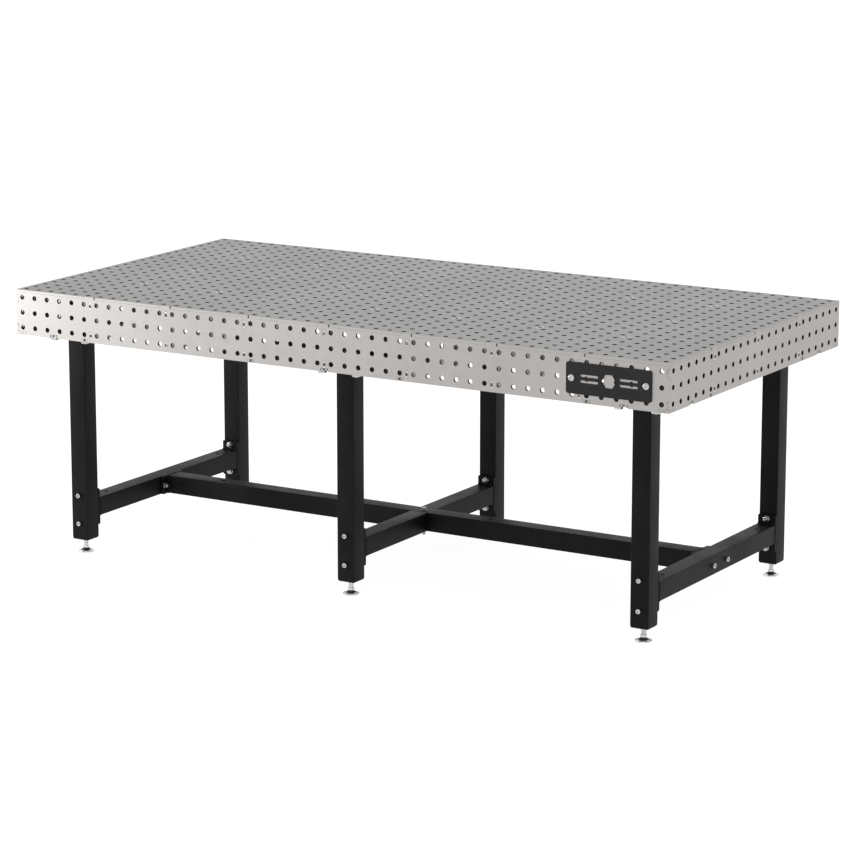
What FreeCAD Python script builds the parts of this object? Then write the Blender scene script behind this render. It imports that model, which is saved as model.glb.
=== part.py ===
"""Tab-and-slot welding table, 8 ft by 4 ft, on six tube legs with levelling feet.

Frame: millimetres, +Z up. The origin is on the floor under the middle of the table,
X runs along the length, and the apron with the nameplate faces -Y.
"""
import FreeCAD, Part
import math
import os

import Sketcher
from FreeCAD import Matrix, Placement, Rotation, Vector

doc = FreeCAD.newDocument("WeldingTable")

# ----------------------------------------------------------------------------------
# Driving dimensions
# ----------------------------------------------------------------------------------
SIZES = [
    ("TableLength", "2438.4", "overall length, 8 ft"),
    ("TableWidth", "1219.2", "overall width, 4 ft"),
    ("TableHeight", "914.4", "work surface above the floor"),
    ("HolePitch", "50.8", "fixture hole pitch"),
    ("HoleDiameter", "16", "fixture hole diameter"),
    ("CellPitch", "304.8", "rib pitch, six holes"),
    ("PlateThickness", "8", "every laser-cut plate of the top"),
    ("ApronDepth", "152.4", "work surface to the lower edge of an apron"),
    ("SlotPlay", "0.4", "gap round a tab or half-lap on each side"),
    ("LegInset", "152.4", "leg centre from the table's edges"),
    ("TubeSide", "63.5", "square tube of legs and stretchers"),
    ("TubeWall", "3", "tube wall"),
    ("TubeCorner", "2", "outer corner radius of the tube"),
    ("LegBottom", "45.6", "lower end of a leg above the floor"),
    ("CapHeight", "8", "thickness of a leg's end cap"),
    ("FlangeSide", "164", "leg flange"),
    ("FlangeThickness", "10", "leg flange"),
    ("FlangeBoltSpacing", "127", "square bolt pattern of a leg flange"),
    ("MountRise", "2.9", "mounting plate above the lower edge of the apron"),
    ("StretcherHeight", "152", "stretcher centre line above the floor"),
    ("EndPlateLong", "125", "stretcher end plate, long side"),
    ("EndPlateShort", "64", "stretcher end plate, short side"),
    ("EndPlateThickness", "10", "stretcher end plate"),
    ("TieBoltSpacing", "97", "two bolts in each end plate"),
    ("VentDiameter", "14", "vent hole in the upper wall of a stretcher"),
    ("NameplateLength", "292", "nameplate"),
    ("NameplateHeight", "98", "nameplate"),
    ("NameplateThickness", "3", "nameplate"),
    ("StudDiameter", "16", "levelling foot stud"),
    ("StudTop", "80", "upper end of the stud above the floor"),
    ("PadDiameter", "54", "levelling foot pad"),
]
sheet = doc.addObject("Spreadsheet::Sheet", "Sizes")
for row, (alias, value, note) in enumerate(SIZES, start=1):
    sheet.set("A%d" % row, note)
    sheet.set("B%d" % row, value)
    sheet.setAlias("B%d" % row, alias)
doc.recompute()

LENGTH = sheet.TableLength
WIDTH = sheet.TableWidth
HEIGHT = sheet.TableHeight
PITCH = sheet.HolePitch
HOLE_R = sheet.HoleDiameter / 2
CELL = sheet.CellPitch
PLATE = sheet.PlateThickness
PLAY = sheet.SlotPlay
SIDE = sheet.TubeSide
INSET = sheet.LegInset

APRON_BOTTOM = HEIGHT - sheet.ApronDepth
UNDER_TOP = HEIGHT - PLATE
MOUNT_BOTTOM = APRON_BOTTOM + sheet.MountRise
MOUNT_TOP = MOUNT_BOTTOM + PLATE
FLANGE_BOTTOM = MOUNT_BOTTOM - sheet.FlangeThickness
LEG_X = LENGTH / 2 - INSET
LEG_Y = WIDTH / 2 - INSET
LEG_SPOTS = {
    "front_left": (-LEG_X, -LEG_Y),
    "front_middle": (0.0, -LEG_Y),
    "front_right": (LEG_X, -LEG_Y),
    "rear_left": (-LEG_X, LEG_Y),
    "rear_middle": (0.0, LEG_Y),
    "rear_right": (LEG_X, LEG_Y),
}
RIB_X = [-LENGTH / 2 + CELL * step for step in range(1, 8)]
RIB_Y = [-WIDTH / 2 + CELL * step for step in range(1, 4)]

# Tabs: two prongs with a gap between them, flush with the face they come through; the
# mounting plates' tabs beside a table corner are whole.
TOP_TAB = (38.1, 12.7)
SIDE_TAB = (24.5, 9.5)
SIDE_TAB_CENTRES = (HEIGHT - 30.25, HEIGHT - 129.25)
MOUNT_TAB = (24.0, 8.0)
LEG_NOTCH = 28.0
MOUNT_TAB_STEPS = (25.4, 152.4, 279.4)
EDGE_TAB = 38.0
EDGE_NOTCH = 43.0

# Openings in the ribs: a window where a rib reaches down to a leg, an arch elsewhere.
OPENING_HALF = 105.0
WINDOW_TOP = HEIGHT - 38.0
WINDOW_BOTTOM = HEIGHT - 118.0
ARCH_TOP = HEIGHT - 114.0
OPENING_CORNER = 12.0

nodes = {}


# ----------------------------------------------------------------------------------
# Flat laser-cut plates
# ----------------------------------------------------------------------------------
def rectangle(low_u, low_v, high_u, high_v):
    """Closed wire of a rectangle in the UV plane."""
    corners = [(low_u, low_v), (high_u, low_v), (high_u, high_v), (low_u, high_v)]
    points = [Vector(u, v, 0) for u, v in corners]
    return Part.makePolygon(points + points[:1])


def centred(u, v, size_u, size_v):
    """Rectangle wire about a centre."""
    return rectangle(u - size_u / 2, v - size_v / 2, u + size_u / 2, v + size_v / 2)


def circle(u, v, radius):
    """Closed wire of a circle in the UV plane."""
    return Part.Wire(Part.Circle(Vector(u, v, 0), Vector(0, 0, 1), radius).toShape())


def rounded_rectangle(low_u, low_v, high_u, high_v, radius):
    """Rectangle wire with its four corners rounded."""
    corner = [
        (high_u - radius, low_v + radius, -90),
        (high_u - radius, high_v - radius, 0),
        (low_u + radius, high_v - radius, 90),
        (low_u + radius, low_v + radius, 180),
    ]
    edges = []
    ends = []
    for u, v, start in corner:
        arc = Part.Arc(Part.Circle(Vector(u, v, 0), Vector(0, 0, 1), radius),
                       math.radians(start), math.radians(start + 90))
        edges.append(arc.toShape())
        ends.append((arc.StartPoint, arc.EndPoint))
    for index in range(4):
        edges.append(Part.makeLine(ends[index][1], ends[(index + 1) % 4][0]))
    return Part.Wire(Part.__sortEdges__(edges))


def fixture_holes(columns, rows):
    """Circle wires of the fixture hole grid."""
    return [circle(u, v, HOLE_R) for u in columns for v in rows]


def column_centres(length):
    """Hole centres along an edge: half a pitch in from each end."""
    count = round(length / PITCH)
    return [-length / 2 + PITCH * (step + 0.5) for step in range(count)]


def add_plate(label, outline, openings, placement):
    """Extrude an outline with openings along +W by the plate thickness and place it."""
    face = Part.makeFace([outline] + openings, "Part::FaceMakerBullseye")
    solid = face.extrude(Vector(0, 0, PLATE))
    feature = doc.addObject("Part::Feature", label)
    feature.Shape = solid
    feature.Placement = placement
    return register(label, feature)


def register(label, feature):
    """Keep a finished sub-part under the name of its file."""
    feature.Label = label
    nodes[label] = feature
    return feature


def plane(origin, u_axis, v_axis):
    """Placement that maps UVW onto the axes given, with W = U x V."""
    w_axis = u_axis.cross(v_axis)
    matrix = Matrix(u_axis.x, v_axis.x, w_axis.x, origin.x,
                    u_axis.y, v_axis.y, w_axis.y, origin.y,
                    u_axis.z, v_axis.z, w_axis.z, origin.z)
    return Placement(matrix)


AXIS_X = Vector(1, 0, 0)
AXIS_Y = Vector(0, 1, 0)
AXIS_Z = Vector(0, 0, 1)


def edge_notches(half_u, half_v):
    """Corner points of the top plate, with a notch for every edge tab of the aprons."""
    points = []

    def along(start, direction, normal, centres, shift):
        for centre in centres:
            for offset, depth in ((-EDGE_NOTCH / 2, 0), (-EDGE_NOTCH / 2, PLATE + PLAY),
                                  (EDGE_NOTCH / 2, PLATE + PLAY), (EDGE_NOTCH / 2, 0)):
                points.append(start + direction * (centre + offset + shift) + normal * depth)

    points.append(Vector(-half_u, -half_v, 0))
    along(Vector(0, -half_v, 0), AXIS_X, AXIS_Y, RIB_X, NOTCH_SHIFT["front"])
    points.append(Vector(half_u, -half_v, 0))
    along(Vector(half_u, 0, 0), AXIS_Y, -AXIS_X, RIB_Y, NOTCH_SHIFT["right"])
    points.append(Vector(half_u, half_v, 0))
    along(Vector(0, half_v, 0), -AXIS_X, -AXIS_Y, RIB_X, NOTCH_SHIFT["front"])
    points.append(Vector(-half_u, half_v, 0))
    along(Vector(-half_u, 0, 0), -AXIS_Y, AXIS_X, RIB_Y, NOTCH_SHIFT["right"])
    return points


# Each edge notch is wider than its tab, and the tab sits against one side of it.
NOTCH_SHIFT = {"front": -1.5, "right": -5.0}
TAB_SHIFT = {"front": -3.8, "right": -2.7}


def make_top_plate():
    points = edge_notches(LENGTH / 2, WIDTH / 2)
    outline = Part.makePolygon(points + points[:1])
    openings = fixture_holes(column_centres(LENGTH), column_centres(WIDTH))
    long_slot = TOP_TAB[0] + 2 * PLAY
    narrow = PLATE + 2 * PLAY
    for x in RIB_X:
        for y in RIB_Y:
            openings.append(plus_wire(x, y, long_slot, narrow))
    add_plate("top_plate", outline, openings, Placement(Vector(0, 0, UNDER_TOP), Rotation()))


def plus_wire(u, v, long_side, narrow):
    """Plus-shaped slot over a rib crossing."""
    far = long_side / 2
    near = narrow / 2
    quarter = [(near, -near), (far, -near), (far, near), (near, near)]
    points = []
    for turn in range(4):
        cosine = round(math.cos(turn * math.pi / 2))
        sine = round(math.sin(turn * math.pi / 2))
        for a, b in quarter[:-1] + quarter[-1:]:
            point = Vector(u + a * cosine - b * sine, v + a * sine + b * cosine, 0)
            if not points or (point - points[-1]).Length > 1e-6:
                points.append(point)
    if (points[-1] - points[0]).Length < 1e-6:
        points.pop()
    return Part.makePolygon(points + points[:1])


def apron_outline(half_u, tab_centres, tab_shift, finger, leg_centres):
    """Apron outline: raised edge tabs on top, and fingers (or their notches) at the ends."""
    points = [(-half_u, APRON_BOTTOM)]
    for centre in leg_centres:
        points += leg_notch(centre, near(centre, tab_centres))
    points.append((half_u, APRON_BOTTOM))
    points += finger_points(half_u, finger, 1)
    points.append((half_u, UNDER_TOP))
    for centre in reversed(tab_centres):
        middle = centre + tab_shift
        points += [(middle + EDGE_TAB / 2, UNDER_TOP), (middle + EDGE_TAB / 2, HEIGHT),
                   (middle - EDGE_TAB / 2, HEIGHT), (middle - EDGE_TAB / 2, UNDER_TOP)]
    points.append((-half_u, UNDER_TOP))
    points += [(-u, v) for u, v in reversed(finger_points(half_u, finger, 1))]
    vectors = [Vector(u, v, 0) for u, v in points]
    return Part.makePolygon(vectors + vectors[:1])


def leg_notch(centre, under_rib):
    """Notch in the lower edge at a leg, open to the mounting plate's tab above it."""
    wide = LEG_NOTCH / 2
    step = MOUNT_TOP + 0.15
    points = [(centre - wide, APRON_BOTTOM), (centre - wide, step)]
    if under_rib:
        narrow = PLATE / 2 + PLAY
        top = min(SIDE_TAB_CENTRES) + SIDE_TAB[0] / 2 + PLAY
        points += [(centre - narrow, step), (centre - narrow, top),
                   (centre + narrow, top), (centre + narrow, step)]
    return points + [(centre + wide, step), (centre + wide, APRON_BOTTOM)]


def finger_points(half_u, reach, direction):
    """Steps up the end of an apron: out by the plate for fingers, in for notches."""
    play = PLAY if reach < 0 else 0.0
    points = []
    for centre in sorted(SIDE_TAB_CENTRES):
        low = centre - SIDE_TAB[0] / 2 - play
        high = centre + SIDE_TAB[0] / 2 + play
        tip = half_u + direction * reach
        points += [(half_u, low), (tip, low), (tip, high), (half_u, high)]
    return points


def apron_slots(rib_centres, mount_centres, leg_centres):
    """Slots for the ribs' end tabs and for the mounting plates' tabs between the legs."""
    slots = []
    for u in rib_centres:
        for v in SIDE_TAB_CENTRES:
            if v == max(SIDE_TAB_CENTRES) or not near(u, leg_centres):
                slots.append(centred(u, v, PLATE + 2 * PLAY, SIDE_TAB[0] + 2 * PLAY))
    for u in mount_centres:
        if not near(u, leg_centres):
            slots.append(centred(u, MOUNT_BOTTOM + PLATE / 2, MOUNT_TAB[0] + 2 * PLAY,
                                 PLATE + 0.3))
    return slots


def near(value, others):
    return any(abs(value - other) < 1 for other in others)


LONG_MOUNT_TABS = ([-LENGTH / 2 + step for step in MOUNT_TAB_STEPS]
                   + [-CELL + MOUNT_TAB_STEPS[0], 0.0, CELL - MOUNT_TAB_STEPS[0]]
                   + [LENGTH / 2 - step for step in MOUNT_TAB_STEPS])
SHORT_MOUNT_TABS = ([-WIDTH / 2 + step for step in MOUNT_TAB_STEPS]
                    + [WIDTH / 2 - step for step in MOUNT_TAB_STEPS])


def make_aprons():
    rows = [HEIGHT - PITCH * (step + 0.5) for step in range(3)]
    long_holes = fixture_holes(column_centres(LENGTH), rows)
    legs = [-LEG_X, 0.0, LEG_X]
    long_slots = apron_slots(RIB_X, LONG_MOUNT_TABS, legs)
    long_outline = apron_outline(LENGTH / 2, RIB_X, TAB_SHIFT["front"], -(PLATE + PLAY), legs)
    add_plate("front_apron", long_outline, long_holes + long_slots,
              plane(Vector(0, PLATE - WIDTH / 2, 0), AXIS_X, AXIS_Z))
    add_plate("rear_apron", long_outline, long_holes + long_slots,
              plane(Vector(0, WIDTH / 2 - PLATE, 0), -AXIS_X, AXIS_Z))

    short_holes = fixture_holes(column_centres(WIDTH), rows)
    legs = [-LEG_Y, LEG_Y]
    short_slots = apron_slots(RIB_Y, SHORT_MOUNT_TABS, legs)
    short_outline = apron_outline(WIDTH / 2 - PLATE, RIB_Y, TAB_SHIFT["right"], PLATE, legs)
    add_plate("right_apron", short_outline, short_holes + short_slots,
              plane(Vector(LENGTH / 2 - PLATE, 0, 0), AXIS_Y, AXIS_Z))
    add_plate("left_apron", short_outline, short_holes + short_slots,
              plane(Vector(PLATE - LENGTH / 2, 0, 0), -AXIS_Y, AXIS_Z))


def rib_shape(half_u, crossings, lap_from_top, arched_bays, raised_bays):
    """Outline and windows of a rib that stands between two aprons.

    Bays are counted from the -U end. An arched bay is cut away from below, and a raised bay
    stops above the mounting plate that it crosses.
    """
    middle = (APRON_BOTTOM + UNDER_TOP) / 2
    lap = PLATE / 2 + PLAY
    bounds = [-half_u - PLATE] + list(crossings) + [half_u + PLATE]
    centres = [(low + high) / 2 for low, high in zip(bounds, bounds[1:])]

    lower = [] if 0 in raised_bays else [(-half_u, APRON_BOTTOM)]
    for bay, centre in enumerate(centres):
        left = max(bounds[bay] + lap, -half_u)
        right = min(bounds[bay + 1] - lap, half_u)
        if bay in raised_bays:
            lower += [(left, MOUNT_TOP), (right, MOUNT_TOP)]
        elif bay in arched_bays:
            lower += [(left, APRON_BOTTOM), (centre - OPENING_HALF, APRON_BOTTOM),
                      (centre - OPENING_HALF, ARCH_TOP - OPENING_CORNER),
                      (centre - OPENING_HALF + OPENING_CORNER, ARCH_TOP),
                      (centre + OPENING_HALF - OPENING_CORNER, ARCH_TOP),
                      (centre + OPENING_HALF, ARCH_TOP - OPENING_CORNER),
                      (centre + OPENING_HALF, APRON_BOTTOM), (right, APRON_BOTTOM)]
        else:
            lower += [(left, APRON_BOTTOM), (right, APRON_BOTTOM)]
        if bay < len(crossings) and not lap_from_top:
            lower += [(right, middle), (right + 2 * lap, middle)]

    upper = []
    for crossing in reversed(crossings):
        far = TOP_TAB[0] / 2
        near = TOP_TAB[1] / 2
        upper += [(crossing + far, UNDER_TOP), (crossing + far, HEIGHT),
                  (crossing + near, HEIGHT), (crossing + near, UNDER_TOP)]
        if lap_from_top:
            upper += [(crossing + lap, UNDER_TOP), (crossing + lap, middle),
                      (crossing - lap, middle), (crossing - lap, UNDER_TOP)]
        upper += [(crossing - near, UNDER_TOP), (crossing - near, HEIGHT),
                  (crossing - far, HEIGHT), (crossing - far, UNDER_TOP)]

    end = end_prongs(half_u)
    points = lower + end + [(half_u, UNDER_TOP)] + upper + [(-half_u, UNDER_TOP)]
    points += [(-u, v) for u, v in reversed(end)]
    vectors = tidy_points(points)
    outline = Part.makePolygon(vectors + vectors[:1])

    windows = []
    for bay, centre in enumerate(centres):
        if bay not in arched_bays:
            windows.append(rounded_rectangle(centre - OPENING_HALF, WINDOW_BOTTOM,
                                             centre + OPENING_HALF, WINDOW_TOP,
                                             OPENING_CORNER))
    return outline, windows


def end_prongs(half_u):
    """The two split tabs at a rib's end, from the bottom up."""
    reach = half_u + PLATE
    points = []
    for centre in sorted(SIDE_TAB_CENTRES):
        for low, high in ((-SIDE_TAB[0] / 2, -SIDE_TAB[1] / 2), (SIDE_TAB[1] / 2, SIDE_TAB[0] / 2)):
            points += [(half_u, centre + low), (reach, centre + low),
                       (reach, centre + high), (half_u, centre + high)]
    return points


def tidy_points(points):
    """Vectors of an outline with repeated points left out."""
    vectors = []
    for u, v in points:
        point = Vector(u, v, 0)
        if not vectors or (point - vectors[-1]).Length > 1e-6:
            vectors.append(point)
    if (vectors[0] - vectors[-1]).Length < 1e-6:
        vectors.pop()
    return vectors


def make_ribs():
    half_y = WIDTH / 2 - PLATE
    for number, x in enumerate(RIB_X, start=1):
        over_mount = (0, 3) if abs(x) < 1 else ()
        outline, windows = rib_shape(half_y, RIB_Y, False, (1, 2), over_mount)
        add_plate("cross_rib_%d" % number, outline, windows,
                  plane(Vector(x - PLATE / 2, 0, 0), AXIS_Y, AXIS_Z))
    half_x = LENGTH / 2 - PLATE
    for label, y in zip(("front", "middle", "rear"), RIB_Y):
        outline, windows = rib_shape(half_x, RIB_X, True, (1, 2, 5, 6), ())
        add_plate("long_rib_%s" % label, outline, windows,
                  plane(Vector(0, y + PLATE / 2, 0), AXIS_X, AXIS_Z))


def tab_spans(centre, whole):
    """Start and end of a tab's prongs about its centre; a whole tab has no gap."""
    half = MOUNT_TAB[0] / 2
    gap = MOUNT_TAB[1] / 2
    if near(centre, whole):
        return [(-half, half)]
    return [(-half, -gap), (gap, half)]


def mount_outline(low_u, high_u, low_v, high_v, tabs_low_v, tabs_low_u):
    """Mounting plate with tabs on its -V side and, at a corner of the table, on its -U side.

    The tabs beside a table corner are whole and the others are split.
    """
    whole_v = tabs_low_v[:1] if tabs_low_u else ()
    whole_u = tabs_low_u[:1]
    points = [(low_u, low_v)]
    for centre in tabs_low_v:
        for low, high in tab_spans(centre, whole_v):
            points += [(centre + low, low_v), (centre + low, low_v - PLATE),
                       (centre + high, low_v - PLATE), (centre + high, low_v)]
    points += [(high_u, low_v), (high_u, high_v), (low_u, high_v)]
    for centre in reversed(tabs_low_u):
        for low, high in reversed(tab_spans(centre, whole_u)):
            points += [(low_u, centre + high), (low_u - PLATE, centre + high),
                       (low_u - PLATE, centre + low), (low_u, centre + low)]
    vectors = tidy_points(points)
    return Part.makePolygon(vectors + vectors[:1])


BOLT_CLEARANCE_R = 8.5


def square_pattern(u, v, spacing):
    """The four corners of a square bolt pattern."""
    half = spacing / 2
    return [(u + a * half, v + b * half) for a in (-1, 1) for b in (-1, 1)]


def make_mount_plates():
    inner_x = LENGTH / 2 - PLATE
    inner_y = WIDTH / 2 - PLATE
    corner_far_u = -RIB_X[-1] - PLATE / 2
    far_v = RIB_Y[0] - PLATE / 2
    steps_v = [-LENGTH / 2 + step for step in MOUNT_TAB_STEPS]
    steps_u = [-WIDTH / 2 + step for step in MOUNT_TAB_STEPS]
    corner = mount_outline(-inner_x, corner_far_u, -inner_y, far_v, steps_v, steps_u)
    corner_holes = [circle(u, v, BOLT_CLEARANCE_R)
                    for u, v in square_pattern(-LEG_X, -LEG_Y, sheet.FlangeBoltSpacing)]
    middle_tabs = (-CELL + MOUNT_TAB_STEPS[0], 0.0, CELL - MOUNT_TAB_STEPS[0])
    middle = mount_outline(-CELL + PLATE / 2, CELL - PLATE / 2, -inner_y, far_v, middle_tabs, ())
    middle_holes = [circle(u, v, BOLT_CLEARANCE_R)
                    for u, v in square_pattern(0, -LEG_Y, sheet.FlangeBoltSpacing)]
    lift = Vector(0, 0, MOUNT_BOTTOM)
    over = Vector(0, 0, MOUNT_TOP)
    half_turn = Rotation(AXIS_Z, 180)
    add_plate("mount_plate_front_left", corner, corner_holes, Placement(lift, Rotation()))
    add_plate("mount_plate_rear_right", corner, corner_holes, Placement(lift, half_turn))
    add_plate("mount_plate_front_right", corner, corner_holes,
              Placement(over, Rotation(AXIS_Y, 180)))
    add_plate("mount_plate_rear_left", corner, corner_holes,
              Placement(over, Rotation(AXIS_X, 180)))
    add_plate("mount_plate_front_middle", middle, middle_holes, Placement(lift, Rotation()))
    add_plate("mount_plate_rear_middle", middle, middle_holes, Placement(lift, half_turn))


# ----------------------------------------------------------------------------------
# Bodies with sketches and features
# ----------------------------------------------------------------------------------
def new_body(name):
    return doc.addObject("PartDesign::Body", name)


def new_sketch(body, role, name):
    """Sketch on one of the body's own origin planes."""
    sketch = body.newObject("Sketcher::SketchObject", name)
    datum = [item for item in body.Origin.OriginFeatures if item.Role == role][0]
    sketch.AttachmentSupport = (datum, [""])
    sketch.MapMode = "FlatFace"
    return sketch


def sketch_rectangle(sketch, tag, width, height):
    """Rectangle about the sketch's origin, its sides bound to two expressions."""
    first = sketch.GeometryCount
    corner = [(-20, -20), (20, -20), (20, 20), (-20, 20)]
    for index in range(4):
        start = Vector(*corner[index], 0)
        end = Vector(*corner[(index + 1) % 4], 0)
        sketch.addGeometry(Part.LineSegment(start, end))
    for index in range(4):
        sketch.addConstraint(Sketcher.Constraint("Coincident", first + index, 2,
                                                 first + (index + 1) % 4, 1))
    for index in (0, 2):
        sketch.addConstraint(Sketcher.Constraint("Horizontal", first + index))
        sketch.addConstraint(Sketcher.Constraint("Vertical", first + index + 1))
    sketch.addConstraint(Sketcher.Constraint("Symmetric", first, 1, first + 1, 2, -1, 1))
    for name, kind, line, expression in ((tag + "Width", "DistanceX", first, width),
                                         (tag + "Height", "DistanceY", first + 1, height)):
        number = sketch.addConstraint(Sketcher.Constraint(kind, line, 1, line, 2, 40.0))
        sketch.renameConstraint(number, name)
        sketch.setExpression("Constraints." + name, expression)


def sketch_circle(sketch, tag, u, v, diameter):
    """Circle whose centre and diameter are bound to expressions."""
    index = sketch.addGeometry(Part.Circle(Vector(30, 30, 0), Vector(0, 0, 1), 5))
    for name, kind, args, expression in (
            (tag + "U", "DistanceX", (-1, 1, index, 3, 30.0), u),
            (tag + "V", "DistanceY", (-1, 1, index, 3, 30.0), v),
            (tag + "Size", "Diameter", (index, 10.0), diameter)):
        number = sketch.addConstraint(Sketcher.Constraint(kind, *args))
        sketch.renameConstraint(number, name)
        sketch.setExpression("Constraints." + name, expression)


def pad(body, sketch, length):
    """Pad a sketch along its normal by an expression."""
    feature = body.newObject("PartDesign::Pad", sketch.Name + "Pad")
    feature.Profile = sketch
    feature.setExpression("Length", length)
    sketch.Visibility = False
    return feature


def drill(body, sketch):
    """Cut a sketch through everything on both sides of its plane."""
    before = body.Shape.Volume
    feature = body.newObject("PartDesign::Pocket", sketch.Name + "Cut")
    feature.Profile = sketch
    feature.Midplane = True
    feature.Type = "ThroughAll"
    doc.recompute()
    if body.Shape.Volume >= before:
        raise RuntimeError("no material removed by " + sketch.Name)
    return feature


def round_edges(body, feature, direction, radius):
    """Fillet the outer edges that run along one direction."""
    doc.recompute()
    names = []
    reach = max(abs(c) for v in feature.Shape.Vertexes for c in across(v.Point, direction))
    for index, edge in enumerate(feature.Shape.Edges, start=1):
        along = edge.Vertexes[-1].Point - edge.Vertexes[0].Point
        outer = max(abs(c) for c in across(edge.Vertexes[0].Point, direction)) > reach - 1e-3
        if along.Length > 1e-6 and abs(abs(along.dot(direction)) - along.Length) < 1e-6 and outer:
            names.append("Edge%d" % index)
    fillet = body.newObject("PartDesign::Fillet", feature.Name + "Round")
    fillet.Base = (feature, names)
    fillet.setExpression("Radius", radius)
    return fillet


def across(point, direction):
    """The point's coordinates across a principal direction."""
    return [c for c, d in zip(point, direction) if abs(d) < 0.5]


def square_tube(name, length):
    """Square tube along +Z from its own origin."""
    body = new_body(name)
    sketch = new_sketch(body, "XY_Plane", name + "Section")
    sketch_rectangle(sketch, "Outer", "Sizes.TubeSide", "Sizes.TubeSide")
    inner = "Sizes.TubeSide - 2 * Sizes.TubeWall"
    sketch_rectangle(sketch, "Inner", inner, inner)
    feature = pad(body, sketch, length)
    round_edges(body, feature, AXIS_Z, "Sizes.TubeCorner")
    doc.recompute()
    return body


def make_legs():
    drop = "Sizes.TableHeight - Sizes.ApronDepth + Sizes.MountRise - Sizes.FlangeThickness"
    length = drop + " - Sizes.LegBottom - Sizes.CapHeight"
    base = sheet.LegBottom + sheet.CapHeight
    for spot, (x, y) in LEG_SPOTS.items():
        body = square_tube("leg_" + spot, length)
        holes = new_sketch(body, "XZ_Plane", "leg_%s_holes" % spot)
        for tag, sign in (("Low", "-"), ("High", "+")):
            level = ("Sizes.StretcherHeight %s Sizes.TieBoltSpacing / 2"
                     " - Sizes.LegBottom - Sizes.CapHeight" % sign)
            sketch_circle(holes, tag, "0", level, "11")
        drill(body, holes)
        body.Placement = Placement(Vector(x, y, base), Rotation())
        register("leg_" + spot, body)


def end_plate_master(name, width, height, hole_u, hole_v):
    """Stretcher end plate in the XY plane, centred, with two bolt holes."""
    body = new_body(name)
    sketch = new_sketch(body, "XY_Plane", name + "Outline")
    sketch_rectangle(sketch, "Plate", width, height)
    for tag, sign in (("Low", "-"), ("High", "")):
        sketch_circle(sketch, tag, sign + hole_u, sign + hole_v, "11")
    feature = pad(body, sketch, "Sizes.EndPlateThickness")
    round_edges_at_corners(body, feature, "5")
    doc.recompute()
    return body


def round_edges_at_corners(body, feature, radius):
    """Fillet the four corner edges that run along Z."""
    doc.recompute()
    box = feature.Shape.BoundBox
    names = []
    for index, edge in enumerate(feature.Shape.Edges, start=1):
        first = edge.Vertexes[0].Point
        last = edge.Vertexes[-1].Point
        at_side = abs(abs(first.x) - box.XMax) < 1e-3 and abs(abs(first.y) - box.YMax) < 1e-3
        if at_side and abs(first.z - last.z) > 1e-3:
            names.append("Edge%d" % index)
    fillet = body.newObject("PartDesign::Fillet", feature.Name + "Corners")
    fillet.Base = (feature, names)
    fillet.setExpression("Radius", radius)
    return fillet


def group(label, master, placements):
    """One node of identical separate solids: the master's shape at each placement."""
    doc.recompute()
    copies = []
    for placement in placements:
        copy = master.Shape.copy()
        copy.Placement = placement.multiply(copy.Placement)
        copies.append(copy)
    feature = doc.addObject("Part::Feature", label)
    feature.Shape = Part.makeCompound(copies)
    return register(label, feature)


def make_flanges():
    body = new_body("flange_master")
    sketch = new_sketch(body, "XY_Plane", "FlangeOutline")
    sketch_rectangle(sketch, "Plate", "Sizes.FlangeSide", "Sizes.FlangeSide")
    half = "Sizes.FlangeBoltSpacing / 2"
    for tag, u, v in (("HoleA", "-", "-"), ("HoleB", "", "-"), ("HoleC", "-", ""), ("HoleD", "", "")):
        sketch_circle(sketch, tag, u + half, v + half, "17")
    feature = pad(body, sketch, "Sizes.FlangeThickness")
    round_edges_at_corners(body, feature, "10")
    group("leg_flanges", body, [Placement(Vector(x, y, FLANGE_BOTTOM), Rotation())
                                for x, y in LEG_SPOTS.values()])


def make_leg_caps():
    """End cap of a leg: a chamfered square plate with a threaded boss inside the tube."""
    cap = doc.addObject("Part::Box", "CapPlate")
    for name, expression in (("Length", "Sizes.TubeSide"), ("Width", "Sizes.TubeSide"),
                             ("Height", "Sizes.CapHeight"),
                             ("Placement.Base.x", "-Sizes.TubeSide / 2"),
                             ("Placement.Base.y", "-Sizes.TubeSide / 2")):
        cap.setExpression(name, expression)
    doc.recompute()
    chamfer = doc.addObject("Part::Chamfer", "CapChamfer")
    chamfer.Base = cap
    bevel = 4.0
    lower = [index for index, edge in enumerate(cap.Shape.Edges, start=1)
             if all(abs(vertex.Z) < 1e-6 for vertex in edge.Vertexes)]
    chamfer.Edges = [(index, bevel, bevel) for index in lower]
    corner = doc.addObject("Part::Fillet", "CapCorners")
    doc.recompute()
    upright = [index for index, edge in enumerate(chamfer.Shape.Edges, start=1)
               if abs(edge.Vertexes[0].Z - edge.Vertexes[-1].Z) > 1
               and abs(abs(edge.Vertexes[0].X) - abs(edge.Vertexes[-1].X)) < 1e-6]
    corner.Base = chamfer
    corner.Edges = [(index, 2.0, 2.0) for index in upright]
    boss = doc.addObject("Part::Box", "CapBoss")
    inner = "(Sizes.TubeSide - 2 * Sizes.TubeWall - 0.4)"
    for name, expression in (("Length", inner), ("Width", inner), ("Height", "12"),
                             ("Placement.Base.x", "-%s / 2" % inner),
                             ("Placement.Base.y", "-%s / 2" % inner),
                             ("Placement.Base.z", "Sizes.CapHeight")):
        boss.setExpression(name, expression)
    bore = doc.addObject("Part::Cylinder", "CapBore")
    bore.setExpression("Radius", "Sizes.StudDiameter / 2 + 0.05")
    bore.setExpression("Height", "Sizes.CapHeight + 14")
    bore.setExpression("Placement.Base.z", "-1")
    joined = doc.addObject("Part::Fuse", "CapBody")
    joined.Base = corner
    joined.Tool = boss
    bored = doc.addObject("Part::Cut", "CapBored")
    bored.Base = joined
    bored.Tool = bore
    group("leg_end_caps", bored, [Placement(Vector(x, y, sheet.LegBottom), Rotation())
                                  for x, y in LEG_SPOTS.values()])


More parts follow.
